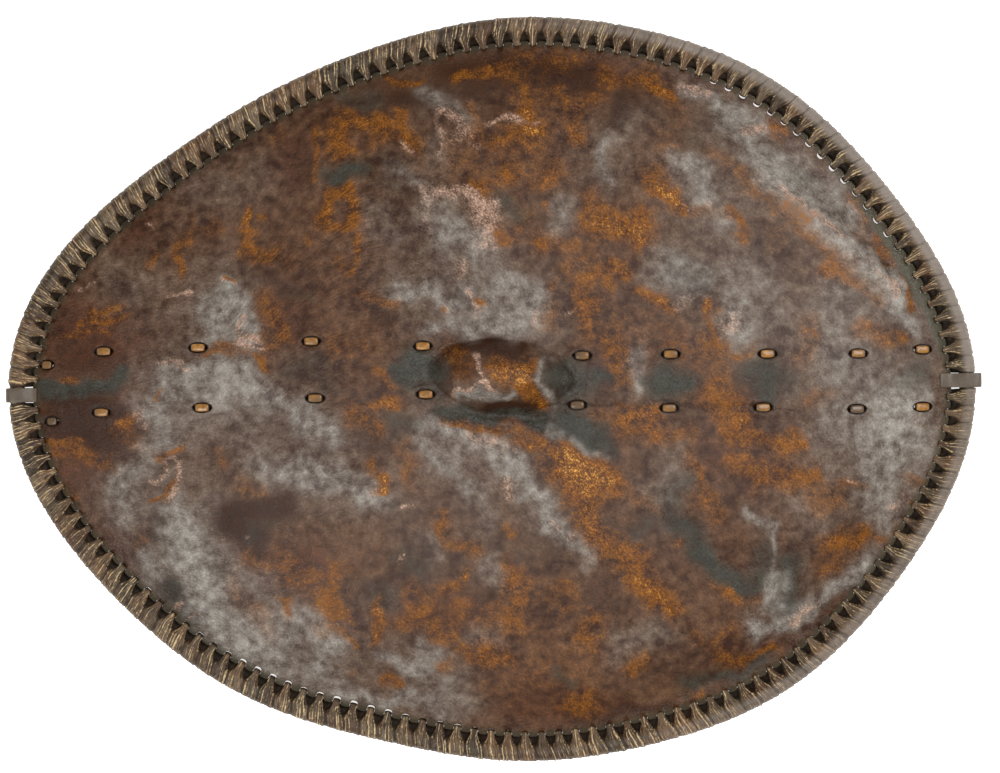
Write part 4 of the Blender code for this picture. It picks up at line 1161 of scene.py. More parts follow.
def add_node(material, kind, inputs=None, **settings):
    """A shader node with its settings; an input is a value, or another node's socket to link from."""
    node = material.node_tree.nodes.new(kind)
    for name, value in settings.items():
        setattr(node, name, value)
    for name, value in (inputs or {}).items():
        if isinstance(value, bpy.types.NodeSocket):
            material.node_tree.links.new(value, node.inputs[name])
        else:
            node.inputs[name].default_value = value
    return node


# Smoked raw hide, rubbed and greased: satin, with a fine pore grain, and worn to its orange under-layer.
# Its pale grey and pink coats are partly bloom and partly painted reflection and highlight. The darker faces
# of the boss, the outline round each tie and the walls of its holes are painted shade.
smoked_hide, shader = new_material("smoked_hide")
place = add_node(smoked_hide, "ShaderNodeTexCoord").outputs["Object"]
# Real pores and rubbing marks are a few tenths of a millimetre across, too fine to show, so they are drawn
# coarser. The rest are as large as they are on the hide.
GRAIN_SCALE = 1 / (1.7 * MM)  # pores and scuffs
STREAK_SCALE = 1 / (1.6 * MM)  # rubbing marks
MOTTLE_SCALE = 1 / (9 * MM)  # mottling of the hide itself
CLOUD_SCALE = 1 / (45 * MM)  # stains and smoke
WRINKLE_SCALE = 0.45  # wrinkles round the boss, about 2.2 mm apart, where the ring counts millimetres
CRUMPLE = 1.8 * MM  # how far the grain is pushed about, so that its spots are not round
crumpled = add_node(
    smoked_hide, "ShaderNodeTexNoise", {"Vector": place, "Scale": GRAIN_SCALE, "Detail": 1.0}
).outputs["Color"]
crumpled = add_node(
    smoked_hide,
    "ShaderNodeVectorMath",
    {0: crumpled, 1: (CRUMPLE, CRUMPLE, 0.0), 2: place},
    operation="MULTIPLY_ADD",
).outputs[0]
grain = add_node(
    smoked_hide,
    "ShaderNodeTexNoise",
    {"Vector": crumpled, "Scale": GRAIN_SCALE, "Detail": 2.0, "Roughness": 0.7},
).outputs["Fac"]
mottle = add_node(
    smoked_hide,
    "ShaderNodeTexNoise",
    {"Vector": place, "Scale": MOTTLE_SCALE, "Detail": 3.0, "Roughness": 0.5},
).outputs["Fac"]
cloud = add_node(
    smoked_hide,
    "ShaderNodeTexNoise",
    {"Vector": place, "Scale": CLOUD_SCALE, "Detail": 4.0, "Roughness": 0.6},
).outputs["Fac"]
# Rubbing has left fine streaks, which run along the shield at its narrow end and slantwise over the rest.
lengthwise = add_node(
    smoked_hide, "ShaderNodeMapping", {"Vector": place, "Scale": (3.0, 1.0, 1.0)}, vector_type="TEXTURE"
).outputs[0]
slantwise = add_node(
    smoked_hide,
    "ShaderNodeMapping",
    {"Vector": place, "Rotation": (0.0, 0.0, math.radians(-48)), "Scale": (2.4, 1.0, 1.0)},
    vector_type="TEXTURE",
).outputs[0]
where = add_node(smoked_hide, "ShaderNodeSeparateXYZ", {"Vector": place})
at_slant = add_node(
    smoked_hide, "ShaderNodeMapRange", {"Value": where.outputs["X"], "From Min": -0.25, "From Max": -0.10}
).outputs["Result"]
run = add_node(
    smoked_hide, "ShaderNodeMix", {0: at_slant, 4: lengthwise, 5: slantwise}, data_type="VECTOR"
).outputs[1]
streaks = add_node(
    smoked_hide,
    "ShaderNodeTexNoise",
    {"Vector": run, "Scale": STREAK_SCALE, "Detail": 3.0, "Roughness": 0.65},
).outputs["Fac"]
texture = add_node(
    smoked_hide, "ShaderNodeMath", {0: grain, 1: 1.3, 2: streaks}, operation="MULTIPLY_ADD"
).outputs[0]
texture = add_node(
    smoked_hide, "ShaderNodeMapRange", {"Value": texture, "From Min": 0.90, "From Max": 1.40}
).outputs["Result"]
flecks = add_node(smoked_hide, "ShaderNodeMath", {0: texture, 1: 1.7}, operation="POWER").outputs[0]
blotches = add_node(
    smoked_hide, "ShaderNodeMath", {0: mottle, 1: 1.3, 2: cloud}, operation="MULTIPLY_ADD"
).outputs[0]
blotches = add_node(
    smoked_hide, "ShaderNodeMapRange", {"Value": blotches, "From Min": 0.85, "From Max": 1.45}
).outputs["Result"]
ground = add_node(
    smoked_hide,
    "ShaderNodeMix",
    {0: blotches, 6: linear("#3b2116"), 7: linear("#76553d")},
    data_type="RGBA",
).outputs[2]
pores = add_node(
    smoked_hide, "ShaderNodeMapRange", {"Value": texture, "To Min": 0.50, "To Max": 1.0}
).outputs["Result"]
colour = add_node(
    smoked_hide, "ShaderNodeMix", {0: pores, 6: linear("#2d1b0a"), 7: ground}, data_type="RGBA"
).outputs[2]


def lay_coat(name, under, blotchy, grainy, low, high, deep, pale):
    """Lays a coat over a colour where its attribute is strong; blotches and grain break it up and vary it."""
    cover = add_node(smoked_hide, "ShaderNodeAttribute", attribute_name=name).outputs["Fac"]
    for pattern, share in ((blotches, blotchy), (texture, grainy)):
        broken = add_node(
            smoked_hide,
            "ShaderNodeMapRange",
            {"Value": pattern, "To Min": 1.0 - share, "To Max": 1.0 + share},
        ).outputs["Result"]
        cover = add_node(
            smoked_hide, "ShaderNodeMath", {0: cover, 1: broken}, operation="MULTIPLY"
        ).outputs[0]
    cover = add_node(
        smoked_hide,
        "ShaderNodeMapRange",
        {"Value": cover, "From Min": low, "From Max": high},
        interpolation_type="SMOOTHSTEP",
    ).outputs["Result"]
    shade = add_node(
        smoked_hide, "ShaderNodeMix", {0: 0.45 + 0.6 * grainy, 2: blotches, 3: flecks}
    ).outputs[0]
    coat = add_node(
        smoked_hide, "ShaderNodeMix", {0: shade, 6: linear(deep), 7: linear(pale)}, data_type="RGBA"
    )
    over = add_node(smoked_hide, "ShaderNodeMix", {0: cover, 6: under, 7: coat.outputs[2]}, data_type="RGBA")
    return over.outputs[2]


# Each coat lies over the ones before it: its name, how much blotches and grain break it up, the strengths at
# which it starts and covers, and its deepest and palest colours.
for name, blotchy, grainy, low, high, deep, pale in (
    ("rose", 0.3, 0.1, 0.00, 0.95, "#2e160b", "#693a22"),
    # painted reflection, thinly round the pale places
    ("sheen", 0.4, 0.1, 0.00, 1.30, "#4d3f36", "#82766b"),
    ("dark", 0.3, 0.0, 0.05, 0.90, "#241208", "#43240f"),
    ("rust", 0.5, 0.25, 0.05, 0.95, "#311507", "#9e621d"),
    ("slate", 0.3, 0.1, 0.05, 0.90, "#1f1e19", "#4a483e"),
    # grease bloom and painted reflection
    ("bloom_and_reflection", 0.3, 0.0, 0.00, 1.35, "#5d544d", "#b4afa6"),
    # pink bloom and painted highlight
    ("pink_bloom_and_highlight", 0.4, 0.4, 0.15, 1.20, "#6e4c38", "#d3b09a"),
    ("gold", 0.5, 0.4, 0.08, 0.90, "#3f1e05", "#a9681c"),
    # bright flecks of the worn core, partly painted glints
    ("gold", 0.3, 0.9, 0.90, 2.40, "#8a5216", "#e6ac50"),
):
    colour = lay_coat(name, colour, blotchy, grainy, low, high, deep, pale)
ring = add_node(smoked_hide, "ShaderNodeAttribute", attribute_name="tie_ring").outputs["Fac"]
outline = add_node(
    smoked_hide,
    "ShaderNodeMapRange",
    {"Value": ring, "From Min": 1.08, "From Max": 0.92},
    interpolation_type="SMOOTHSTEP",
).outputs["Result"]
# The flesh side behind was scraped and left bare: paler and dry, clouded by smoke and hands.
flesh_side = add_node(
    smoked_hide, "ShaderNodeMix", {0: blotches, 6: linear("#69523b"), 7: linear("#a3896a")}, data_type="RGBA"
).outputs[2]
flesh_side = add_node(
    smoked_hide, "ShaderNodeMix", {0: pores, 6: linear("#4f3b29"), 7: flesh_side}, data_type="RGBA"
).outputs[2]
flange, inner_side, pit = (
    add_node(smoked_hide, "ShaderNodeAttribute", attribute_name=name).outputs["Fac"]
    for name in ("flange", "inner_side", "pit")
)
# The outline round each tie and the hole walls are painted shade.
for share, shade in (
    (outline, linear("#21150d")),
    (flange, linear("#4f4a3c")),
    (inner_side, flesh_side),
    (pit, linear("#17100b")),
):
    colour = add_node(
        smoked_hide, "ShaderNodeMix", {0: share, 6: colour, 7: shade}, data_type="RGBA"
    ).outputs[2]
smoked_hide.node_tree.links.new(colour, shader.inputs["Base Color"])
roughness = add_node(
    smoked_hide,
    "ShaderNodeMapRange",
    {"Value": mottle, "From Min": 0.3, "From Max": 0.7, "To Min": 0.16, "To Max": 0.28},
).outputs["Result"]
smoked_hide.node_tree.links.new(roughness, shader.inputs["Roughness"])
shader.inputs["Specular IOR Level"].default_value = 0.28
wrinkle_run = add_node(smoked_hide, "ShaderNodeAttribute", attribute_name="wrinkle_ring").outputs["Fac"]
wrinkle_run = add_node(smoked_hide, "ShaderNodeCombineXYZ", {0: wrinkle_run, 1: 0.0, 2: 0.0}).outputs[0]
wrinkles = add_node(
    smoked_hide, "ShaderNodeTexNoise", {"Vector": wrinkle_run, "Scale": WRINKLE_SCALE, "Detail": 1.0}
).outputs["Fac"]
wrinkle_share = add_node(smoked_hide, "ShaderNodeAttribute", attribute_name="wrinkle_share").outputs["Fac"]
wrinkles = add_node(
    smoked_hide, "ShaderNodeMath", {0: wrinkles, 1: wrinkle_share}, operation="MULTIPLY"
).outputs[0]
heights = add_node(
    smoked_hide, "ShaderNodeMath", {0: mottle, 1: 1.6, 2: texture}, operation="MULTIPLY_ADD"
).outputs[0]
heights = add_node(
    smoked_hide, "ShaderNodeMath", {0: wrinkles, 1: 1.5, 2: heights}, operation="MULTIPLY_ADD"
).outputs[0]
bump = add_node(smoked_hide, "ShaderNodeBump", {"Height": heights, "Strength": 0.8, "Distance": 0.4 * MM})
smoked_hide.node_tree.links.new(bump.outputs["Normal"], shader.inputs["Normal"])
hide.data.materials.clear()
hide.data.materials.append(smoked_hide)
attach(hide, "root")
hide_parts("hide", "hide_boss")

# ---------------------------------------------------------------- staff
# A peeled branch runs the length of the shield behind the hide, and crosses the hollow of the boss as the
# grip. It is thickest there and thins to both ends, which stop close to the lacing.

# The stick: x, width, depth (mm).
STAFF_SIZES = (
    (-420, 8, 5.5),
    (-385, 10, 8),
    (-310, 13, 11),
    (-230, 15, 13),
    (-150, 16, 14),
    (-64, 18, 17),
    (-25, 22, 21),
    (10, 23, 22),
    (45, 22, 21),
    (84, 18, 17),
    (165, 16, 14),
    (250, 15, 13),
    (335, 12, 10),
    (380, 10, 8),
    (408, 8, 6),
)
STAFF_SIDES = 20
STAFF_RINGS = 190
STAFF_GAP = 0.9 * MM  # under the hide
STAFF_EVENING = 6  # rings to each side over which the stick's line is evened out
# The knots: x (mm) and the turn round the stick (radians).
KNOTS = ((-338, 0.9), (-214, 2.6), (-112, 5.0), (128, 1.4), (216, 4.1), (308, 2.9))


def staff_size(x):
    """Width and depth of the stick at x."""
    widths = smooth_line([(station[0], station[1]) for station in STAFF_SIZES], x)
    depths = smooth_line([(station[0], station[2]) for station in STAFF_SIZES], x)
    return widths, depths


def staff_top(x):
    """Height of the stick's upper side: close under the hide, or under the dome's own line in the boss."""
    line = smooth_line(STAFF_LINE, x)
    width = staff_size(x)[0]
    levels = []
    for share in (-0.45, -0.2, 0.0, 0.2, 0.45):
        y = line + width * share
        dome = front_height(x, y, FACE_SOFTNESS) - boss_rise(x, y, FACE_SOFTNESS) - HIDE_THICKNESS
        levels.append(np.where(np.abs(boss_frame(x, y)[0]) < BOSS_HALF_LENGTH, dome, back_height(x, y)))
    return np.min(levels, axis=0) - STAFF_GAP


staff_x = np.linspace(STAFF_SIZES[0][0], STAFF_SIZES[-1][0], STAFF_RINGS) * MM
staff_y = smooth_line(STAFF_LINE, staff_x)
staff_width, staff_depth = staff_size(staff_x)
staff_high = staff_top(staff_x)
span = np.arange(-STAFF_EVENING, STAFF_EVENING + 1)
weights = np.exp(-((span / (STAFF_EVENING / 2)) ** 2))
padded = np.pad(staff_high, STAFF_EVENING, mode="edge")
staff_high = np.minimum(staff_high, np.convolve(padded, weights / weights.sum(), mode="valid"))
ends = np.minimum(np.arange(STAFF_RINGS), np.arange(STAFF_RINGS)[::-1])
taper = np.sqrt(np.clip(ends / 2.0 + 0.15, 0.0, 1.0))
turns = 2 * np.pi * np.arange(STAFF_SIDES) / STAFF_SIDES
staff_points = []
for place in range(STAFF_RINGS):
    across = np.cos(turns)
    up = np.sin(turns)
    x = np.full(STAFF_SIDES, staff_x[place])
    bumps = 1.0 - 0.05 * (1.0 + noise_at(x * 0.25 + up * 4 * MM, x * 0.05 + across * 8 * MM, 9 * MM, 3, 2.0))
    for knot_x, knot_turn in KNOTS:
        near = np.exp(-(((staff_x[place] / MM - knot_x) / 5.0) ** 2))
        bumps -= 0.05 * near
        bumps += 0.14 * near * np.exp(-((np.abs(np.angle(np.exp(1j * (turns - knot_turn)))) / 0.5) ** 2))
    bumps = np.minimum(bumps, 1.0) * taper[place]
    y = staff_y[place] + staff_width[place] / 2 * across * bumps
    z = staff_high[place] + staff_depth[place] / 2 * (up * bumps - 1.0)
    staff_points.append(np.column_stack((x, y, z)))
staff_faces = []
for place in range(STAFF_RINGS - 1):
    for corner in range(STAFF_SIDES):
        here = place * STAFF_SIDES + corner
        beside = place * STAFF_SIDES + (corner + 1) % STAFF_SIDES
        staff_faces.append((here, here + STAFF_SIDES, beside + STAFF_SIDES, beside))
staff_faces.append(tuple(range(STAFF_SIDES)))
staff_faces.append(tuple(reversed(range((STAFF_RINGS - 1) * STAFF_SIDES, STAFF_RINGS * STAFF_SIDES))))
staff = add_piece("grip_staff", np.concatenate(staff_points), staff_faces)

# Peeled wood darkened by smoke and hands: a long fine grain, and a little gloss where it was gripped.
wood, shader = new_material("smoked_wood")
WOOD_FIBRE_SCALE = 1 / (1.2 * MM)  # real fibres are too fine to show, so they are drawn at 1.2 mm
WOOD_STAIN_SCALE = 1 / (45 * MM)
place = add_node(wood, "ShaderNodeTexCoord").outputs["Object"]
long_grain = add_node(
    wood, "ShaderNodeMapping", {"Vector": place, "Scale": (0.04, 1.0, 1.0)}
).outputs["Vector"]
fibres = add_node(
    wood, "ShaderNodeTexNoise", {"Vector": long_grain, "Scale": WOOD_FIBRE_SCALE, "Detail": 4.0}
)
stains = add_node(wood, "ShaderNodeTexNoise", {"Vector": place, "Scale": WOOD_STAIN_SCALE, "Detail": 4.0})
colour = add_node(
    wood,
    "ShaderNodeMix",
    {0: fibres.outputs["Fac"], 6: linear("#3a2416"), 7: linear("#8a6240")},
    data_type="RGBA",
).outputs[2]
colour = add_node(
    wood, "ShaderNodeMix", {0: stains.outputs["Fac"], 6: colour, 7: linear("#3b2518")}, data_type="RGBA"
).outputs[2]
wood.node_tree.links.new(colour, shader.inputs["Base Color"])
shader.inputs["Roughness"].default_value = 0.5
bump = add_node(
    wood, "ShaderNodeBump", {"Height": fibres.outputs["Fac"], "Strength": 0.5, "Distance": 0.4 * MM}
)
wood.node_tree.links.new(bump.outputs["Normal"], shader.inputs["Normal"])
staff.data.materials.append(wood)
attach(staff, "root")
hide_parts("staff")

# ---------------------------------------------------------------- ties
# Ten thongs of raw hide hold the stick. Each goes down and up through two pairs of holes, so that two short
# bars show on the front, rubbed golden, and two runs pass under the stick behind.

BAR_WIDTH = 7.6 * MM
THONG_WIDTH = 4.4 * MM
THONG_THICKNESS = 3.0 * MM
BAR_SINK = 0.5 * MM  # the bars have pressed into the hide
LEG_REACH = 3.0 * MM  # from the middle of a leg to the corners that its run has to clear
HIDE_GAP = 0.6 * MM  # between a run and the hide
STICK_GAP = 0.4 * MM  # between a run and the stick
UNDER_STICK = 0.85  # how much of the stick's width a run lies flat under


def cut_corners(sections, times, cut):
    """A closed row of sections, with its corners cut again and again until it is a curve."""
    for _ in range(times):
        after = np.roll(sections, -1, axis=0)
        pairs = (sections * (1.0 - cut) + after * cut, sections * cut + after * (1.0 - cut))
        sections = np.stack(pairs, axis=1).reshape(-1, 3, 3)
    return sections


def sweep(sections, corners, squareness):
    """A closed band from sections: the middle, and the half-size directions across it and out of it."""
    turns = 2 * np.pi * (np.arange(corners) + 0.5) / corners
    flat = np.sign(np.cos(turns)) * np.abs(np.cos(turns)) ** squareness
    thick = np.sign(np.sin(turns)) * np.abs(np.sin(turns)) ** squareness
    points = (
        sections[:, 0:1]
        + sections[:, 1:2] * flat[None, :, None]
        + sections[:, 2:3] * thick[None, :, None]
    )
    count = len(sections)
    faces = []
    for section in range(count):
        after = (section + 1) % count
        for corner in range(corners):
            beside = (corner + 1) % corners
            faces.append(
                (
                    section * corners + corner,
                    after * corners + corner,
                    after * corners + beside,
                    section * corners + beside,
                )
            )
    return points.reshape(-1, 3), faces


def mitre(before, here, after):
    """Outward direction of a corner in a flat clockwise loop, longer where the corner is sharper."""
    into = (here - before) / np.linalg.norm(here - before)
    out = (after - here) / np.linalg.norm(after - here)
    left_in = np.array((-into[1], into[0]))
    left_out = np.array((-out[1], out[0]))
    both = (left_in + left_out) / np.linalg.norm(left_in + left_out)
    return both / both.dot(left_out)


def face_height(x, y):
    """Front of the hide at one place, with its fine relief."""
    x = np.array([x])
    y = np.array([y])
    return float((front_height(x, y, FACE_SOFTNESS) + fine_relief(x, y, patina_and_painted_light(x, y)))[0])


def under_hide(x, y):
    """Level just under the hide's back, clear of the edges of a leg's hole."""
    spots = [(x + east * LEG_REACH, y + north * LEG_REACH) for east in (-1, 1) for north in (-1, 1)]
    levels = [float(back_height(np.array([east]), np.array([north]))[0]) for east, north in spots]
    return min(levels) - THONG_WIDTH / 2 - HIDE_GAP


def behind_run(x, start_y, end_y):
    """Sections of one run behind the hide, from leg to leg round the stick."""
    line = float(smooth_line(STAFF_LINE, np.array([x]))[0])
    half = float(np.interp(x, staff_x, staff_width)) / 2
    under = float(np.interp(x, staff_x, staff_high - staff_depth)) - THONG_WIDTH / 2 - STICK_GAP
    towards = 1.0 if end_y > start_y else -1.0
    path = [
        np.array((start_y, face_height(x, start_y))),
        np.array((start_y, under_hide(x, start_y))),
        np.array((line - towards * UNDER_STICK * half, under)),
        np.array((line + towards * UNDER_STICK * half, under)),
        np.array((end_y, under_hide(x, end_y))),
        np.array((end_y, face_height(x, end_y))),
    ]
    sections = []
    for before, here, after in zip(path, path[1:], path[2:]):
        out = mitre(before, here, after) * THONG_WIDTH / 2 * -towards
        sections.append([(x, here[0], here[1]), (0.0, out[0], out[1])])
    return sections


# Raw hide thong, cut wet and dried hard: dark with grime, but for the bars, which hands have rubbed golden
# and glossy.
thong, shader = new_material("rubbed_thong")
THONG_FIBRE_SCALE = 1 / (3.6 * MM)  # real fibres are too fine to show, so they are drawn at 3.6 mm
THONG_WEAR_SCALE = 1 / (40 * MM)
place = add_node(thong, "ShaderNodeTexCoord").outputs["Object"]
fibres = add_node(thong, "ShaderNodeTexNoise", {"Vector": place, "Scale": THONG_FIBRE_SCALE, "Detail": 3.0})
bar_share = add_node(thong, "ShaderNodeAttribute", attribute_name="bar").outputs["Fac"]
rubbed = add_node(
    thong,
    "ShaderNodeMapRange",
    {"Value": bar_share, "From Min": 0.1, "From Max": 0.9},
    interpolation_type="SMOOTHSTEP",
).outputs["Result"]
gold = add_node(
    thong,
    "ShaderNodeMix",
    {0: fibres.outputs["Fac"], 6: linear("#4a2b10"), 7: linear("#cf9650")},
    data_type="RGBA",
).outputs[2]
wear = add_node(
    thong, "ShaderNodeTexNoise", {"Vector": place, "Scale": THONG_WEAR_SCALE, "Detail": 1.0}
).outputs["Fac"]
grimy = add_node(
    thong, "ShaderNodeMapRange", {"Value": wear, "From Min": 0.42, "From Max": 0.62}
).outputs["Result"]
gold = add_node(
    thong, "ShaderNodeMix", {0: grimy, 6: gold, 7: linear("#64503c")}, data_type="RGBA"
).outputs[2]
colour = add_node(
    thong, "ShaderNodeMix", {0: rubbed, 6: linear("#2c1a0e"), 7: gold}, data_type="RGBA"
).outputs[2]
thong.node_tree.links.new(colour, shader.inputs["Base Color"])
shader.inputs["Roughness"].default_value = 0.24
bump = add_node(
    thong, "ShaderNodeBump", {"Height": fibres.outputs["Fac"], "Strength": 0.5, "Distance": 0.4 * MM}
)
thong.node_tree.links.new(bump.outputs["Normal"], shader.inputs["Normal"])

for number, tie in enumerate(TIES, start=1):
    half = TIE_END_HALF_LENGTH if tie is TIES[0] else TIE_HALF_LENGTH
    bars = ((tie[0] * MM, tie[1] * MM), (tie[2] * MM, tie[3] * MM))
    sections = []
    for side, (bar_x, bar_y), (far_x, far_y) in zip((1.0, -1.0), bars, bars[::-1]):
        for along in (-side, 0.0, side):
            level = face_height(bar_x + along * half, bar_y) + THONG_THICKNESS / 2 - BAR_SINK
            level += (1.2 if along == 0.0 else 0.9) * MM
            across = side * BAR_WIDTH / 2 * (1.0 if along == 0.0 else 0.8)
            out = (along * THONG_THICKNESS / 2, 0.0, THONG_THICKNESS / 2)
            sections.append([(bar_x + along * half, bar_y, level), (0.0, across, 0.0), out])
        run = behind_run(bar_x + side * half, bar_y, far_y)
        for index, (middle, across) in enumerate(run):
            share = index / (len(run) - 1)
            middle = (middle[0] + (far_x - bar_x) * share, middle[1], middle[2])
            sections.append([middle, across, (side * THONG_THICKNESS / 2, 0.0, 0.0)])
    sections = cut_corners(np.array(sections), times=3, cut=0.25)
    points, faces = sweep(sections, corners=12, squareness=0.8)
    tie_piece = add_piece(f"thong_{number:02d}", points, faces)
    above = points[:, 2] - front_height(points[:, 0], points[:, 1], FACE_SOFTNESS)
    between_rows = (tie[1] + tie[3]) / 2 * MM
    bar_middle = np.where(points[:, 1] > between_rows, tie[0], tie[2]) * MM
    end_share = np.abs(points[:, 0] - bar_middle) / half
    paint(
        tie_piece, "bar", smooth_step(-1.0 * MM, 1.6 * MM, above) * (1.0 - smooth_step(0.8, 1.25, end_share))
    )
    tie_piece.data.materials.append(thong)
    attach(tie_piece, "root")
    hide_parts(f"tie_{number:02d}")

# ---------------------------------------------------------------- rim binding
# One long strip of soaked raw hide, wound over a roll at the edge and drawn in to a narrow neck at each hole,
# so that every turn fans out over the roll in pleats. It dried hard and dull, with its pale cut edges
# standing up. The pale lines along its pleat crests are partly those edges and partly painted highlight, and
# the dark between its turns and in its folds is painted shade.

ROLL_CENTRE = 8.75 * MM  # middle of the roll, in from the outside of the rim and up from the floor
ROLL_RADIUS = 8.3 * MM
PINCH_RADIUS = 7.2 * MM  # the roll under an end strap
NECK_INSET = 28.9 * MM
NECK_HALF = 3.6 * MM
# The strip is as wide as its pitch outside the first of these, and a neck inside the second.
FAN_INSETS = (13.0 * MM, 22.6 * MM)
NECK_LIFT = 1.2 * MM  # the neck's end over the middle of the roll
LEAN = 4.2 * MM  # how far a turn leans towards the broad end on its way over the roll
PLEATS = 6
# Half of the sections of a turn, as distances from its middle (mm).
BINDING_PLACES = (0.4, 1.2, 2.0, 2.8, 3.4, 3.9, 4.7, 5.7, 6.8, 7.9)
# The places along a section: degrees from the neck, over the top.
BINDING_TURNS = (0, 3, 7, 12, 18, 26, 36, 48, 62, 78, 95, 113, 132, 155)
# The underside of each turn runs out below the hide's edge: degrees under the neck and distance from the
# roll's middle.
LOWER_FLAP = ((-30, 8.0), (-26, 9.5), (-18, 13.0), (-12, 16.4), (-7, 15.6), (-3, 8.0))


def pleat_rise(turn_number, across):
    """Height of the pleats at a share of the strip's width, -1 to 1, and how much of it is a crest."""
    dice = random.Random(4000 + turn_number)
    rise = np.zeros_like(across)
    crest = np.zeros_like(across)
    for pleat in range(PLEATS):
        middle = -0.85 + 1.7 * (pleat + dice.uniform(0.1, 0.9)) / PLEATS
        width = dice.uniform(0.07, 0.14)
        height = dice.uniform(0.15, 1.1)
        ridge = np.exp(-(((across - middle) / width) ** 2))
        rise += height * ridge
        crest = np.maximum(crest, height * np.exp(-(((across - middle) / (0.5 * width)) ** 2)))
    overlap = dice.uniform(0.3, 0.9)
    rise += overlap * smooth_step(0.2, 0.93, across) - 1.2 * np.exp(-(((np.abs(across) - 1.0) / 0.08) ** 2))
    edge = dice.uniform(0.2, 1.0) * np.exp(-(((across - 0.88) / 0.07) ** 2))
    return rise, np.maximum(crest, edge)


def plain_share(stitch, degrees):
    """How far a turn's outer side is stretched smooth: wholly on the upper broad end, less on the lower."""
    if stitch < STITCHES / 2:
        share = 1.0 - smooth_step(22.0, 40.0, stitch)
    else:
        share = 0.6 * (1.0 - smooth_step(18.0, 34.0, STITCHES - stitch))
    return share * smooth_step(58.0, 96.0, degrees)


def binding_section(stitch, distance):
    """One section through the roll and a turn of its strip: points, crest values and painted shade values."""
    strap = stitch % (STITCHES // 2) == 0
    degrees = np.array(BINDING_TURNS[::-1] + tuple(-turn for turn in BINDING_TURNS[1:]), dtype=float)
    off = np.radians(np.abs(degrees))
    beyond = abs(distance)
    neck = NECK_INSET - 1.4 * MM * (beyond / NECK_HALF) ** 4
    dice = random.Random(5000 + stitch)
    fan_end = FAN_INSETS[1] + dice.uniform(-1.6, 1.0) * MM
    side = fan_end - (fan_end - FAN_INSETS[0]) * (beyond - NECK_HALF) / (PITCH / 2 - NECK_HALF)
    tip = neck if beyond < NECK_HALF else side
    lean_share = dice.uniform(0.6, 1.3)
    radius = ROLL_RADIUS
    if strap:
        tip = ROLL_CENTRE + PINCH_RADIUS
        radius = PINCH_RADIUS
    reach = max(tip - ROLL_CENTRE, radius * 1.0001)
    tangent = math.acos(radius / reach)
    round_part = np.where(off < tangent, radius / np.cos(np.clip(tangent - off, 0.0, 1.5)), radius)
    if not strap:
        flap = np.interp(degrees, *zip(*LOWER_FLAP), left=0.0, right=0.0) * MM
        round_part = np.maximum(round_part, flap)
    inset = ROLL_CENTRE + round_part * np.cos(off)
    width = np.interp(inset, (FAN_INSETS[0], fan_end), (PITCH / 2, NECK_HALF))
    across = np.clip(distance / width, -1.25, 1.25)
    rise, crest = pleat_rise(stitch, across)
    above = np.where(degrees >= 0, 1.0, 0.45)
    near_tip = smooth_step(26.5 * MM, 20 * MM, inset)
    grown = round_part + 0.75 * MM * rise * above * (0.35 + 0.65 * near_tip) * (0.25 if strap else 1.0)
    over = np.radians(degrees)
    lift = NECK_LIFT * np.clip((inset - ROLL_CENTRE) / (NECK_INSET - ROLL_CENTRE), 0.0, 1.0)
    height = ROLL_CENTRE + grown * np.sin(over) + lift
    inset = ROLL_CENTRE + grown * np.cos(off)
    to_broad = -math.sin(2 * math.pi * stitch / STITCHES)
    full_lean = lean_share * LEAN * math.copysign(abs(to_broad) ** 0.3, to_broad)
    lean = full_lean * smooth_step(0.3, 2.6, off) * above
    place_x, place_y = rim_place(stitch + (distance + lean) / PITCH, inset)
    # Painted shade: dark along the edges of each turn, in the gaps between turns, at the hole and under the
    # neck, less where a turn is stretched smooth.
    gap_shade = np.exp(-(((np.abs(across) - 1.0) / 0.09) ** 2)) * (1.0 - 0.75 * plain_share(stitch, degrees))
    gap_shade = np.maximum(gap_shade, np.where(np.abs(distance) > width * 1.02, 1.0, 0.0))
    gap_shade = np.maximum(gap_shade, 0.8 * smooth_step(27.9 * MM, 28.7 * MM, inset))
    gap_shade = np.maximum(gap_shade, np.where((degrees < 0) & (degrees > -30), 1.0, 0.0))
    return np.column_stack((place_x, place_y, np.maximum(height, 0.05 * MM))), crest, gap_shade, across, degrees


sections = []
finish = {"crest": [], "gap_shade": [], "tone": [], "fan": [], "turn": [], "plain": []}
for stitch in range(STITCHES):
    dice = random.Random(7000 + stitch)
    tone = dice.random()
    distances = [-place * MM for place in BINDING_PLACES[::-1]] + [place * MM for place in BINDING_PLACES]
    for distance in distances:
        section, crest, gap_shade, across, degrees = binding_section(stitch, distance)
        sections.append(section)
        finish["crest"].append(crest)
        finish["gap_shade"].append(gap_shade)
        finish["tone"].append(np.full(len(crest), tone))
        finish["fan"].append(across + 5.0 * stitch)
        finish["turn"].append(degrees / 60.0)
        finish["plain"].append(plain_share(stitch, degrees))
around = len(sections[0])
binding_faces = []
for index in range(len(sections)):
    here = index * around
    after = ((index + 1) % len(sections)) * around
    for corner in range(around):
        beside = (corner + 1) % around
        binding_faces.append((here + corner, here + beside, after + beside, after + corner))
binding = add_piece("rim_lacing", np.concatenate(sections), binding_faces)
for name, values in finish.items():
    paint(binding, name, np.concatenate(values))

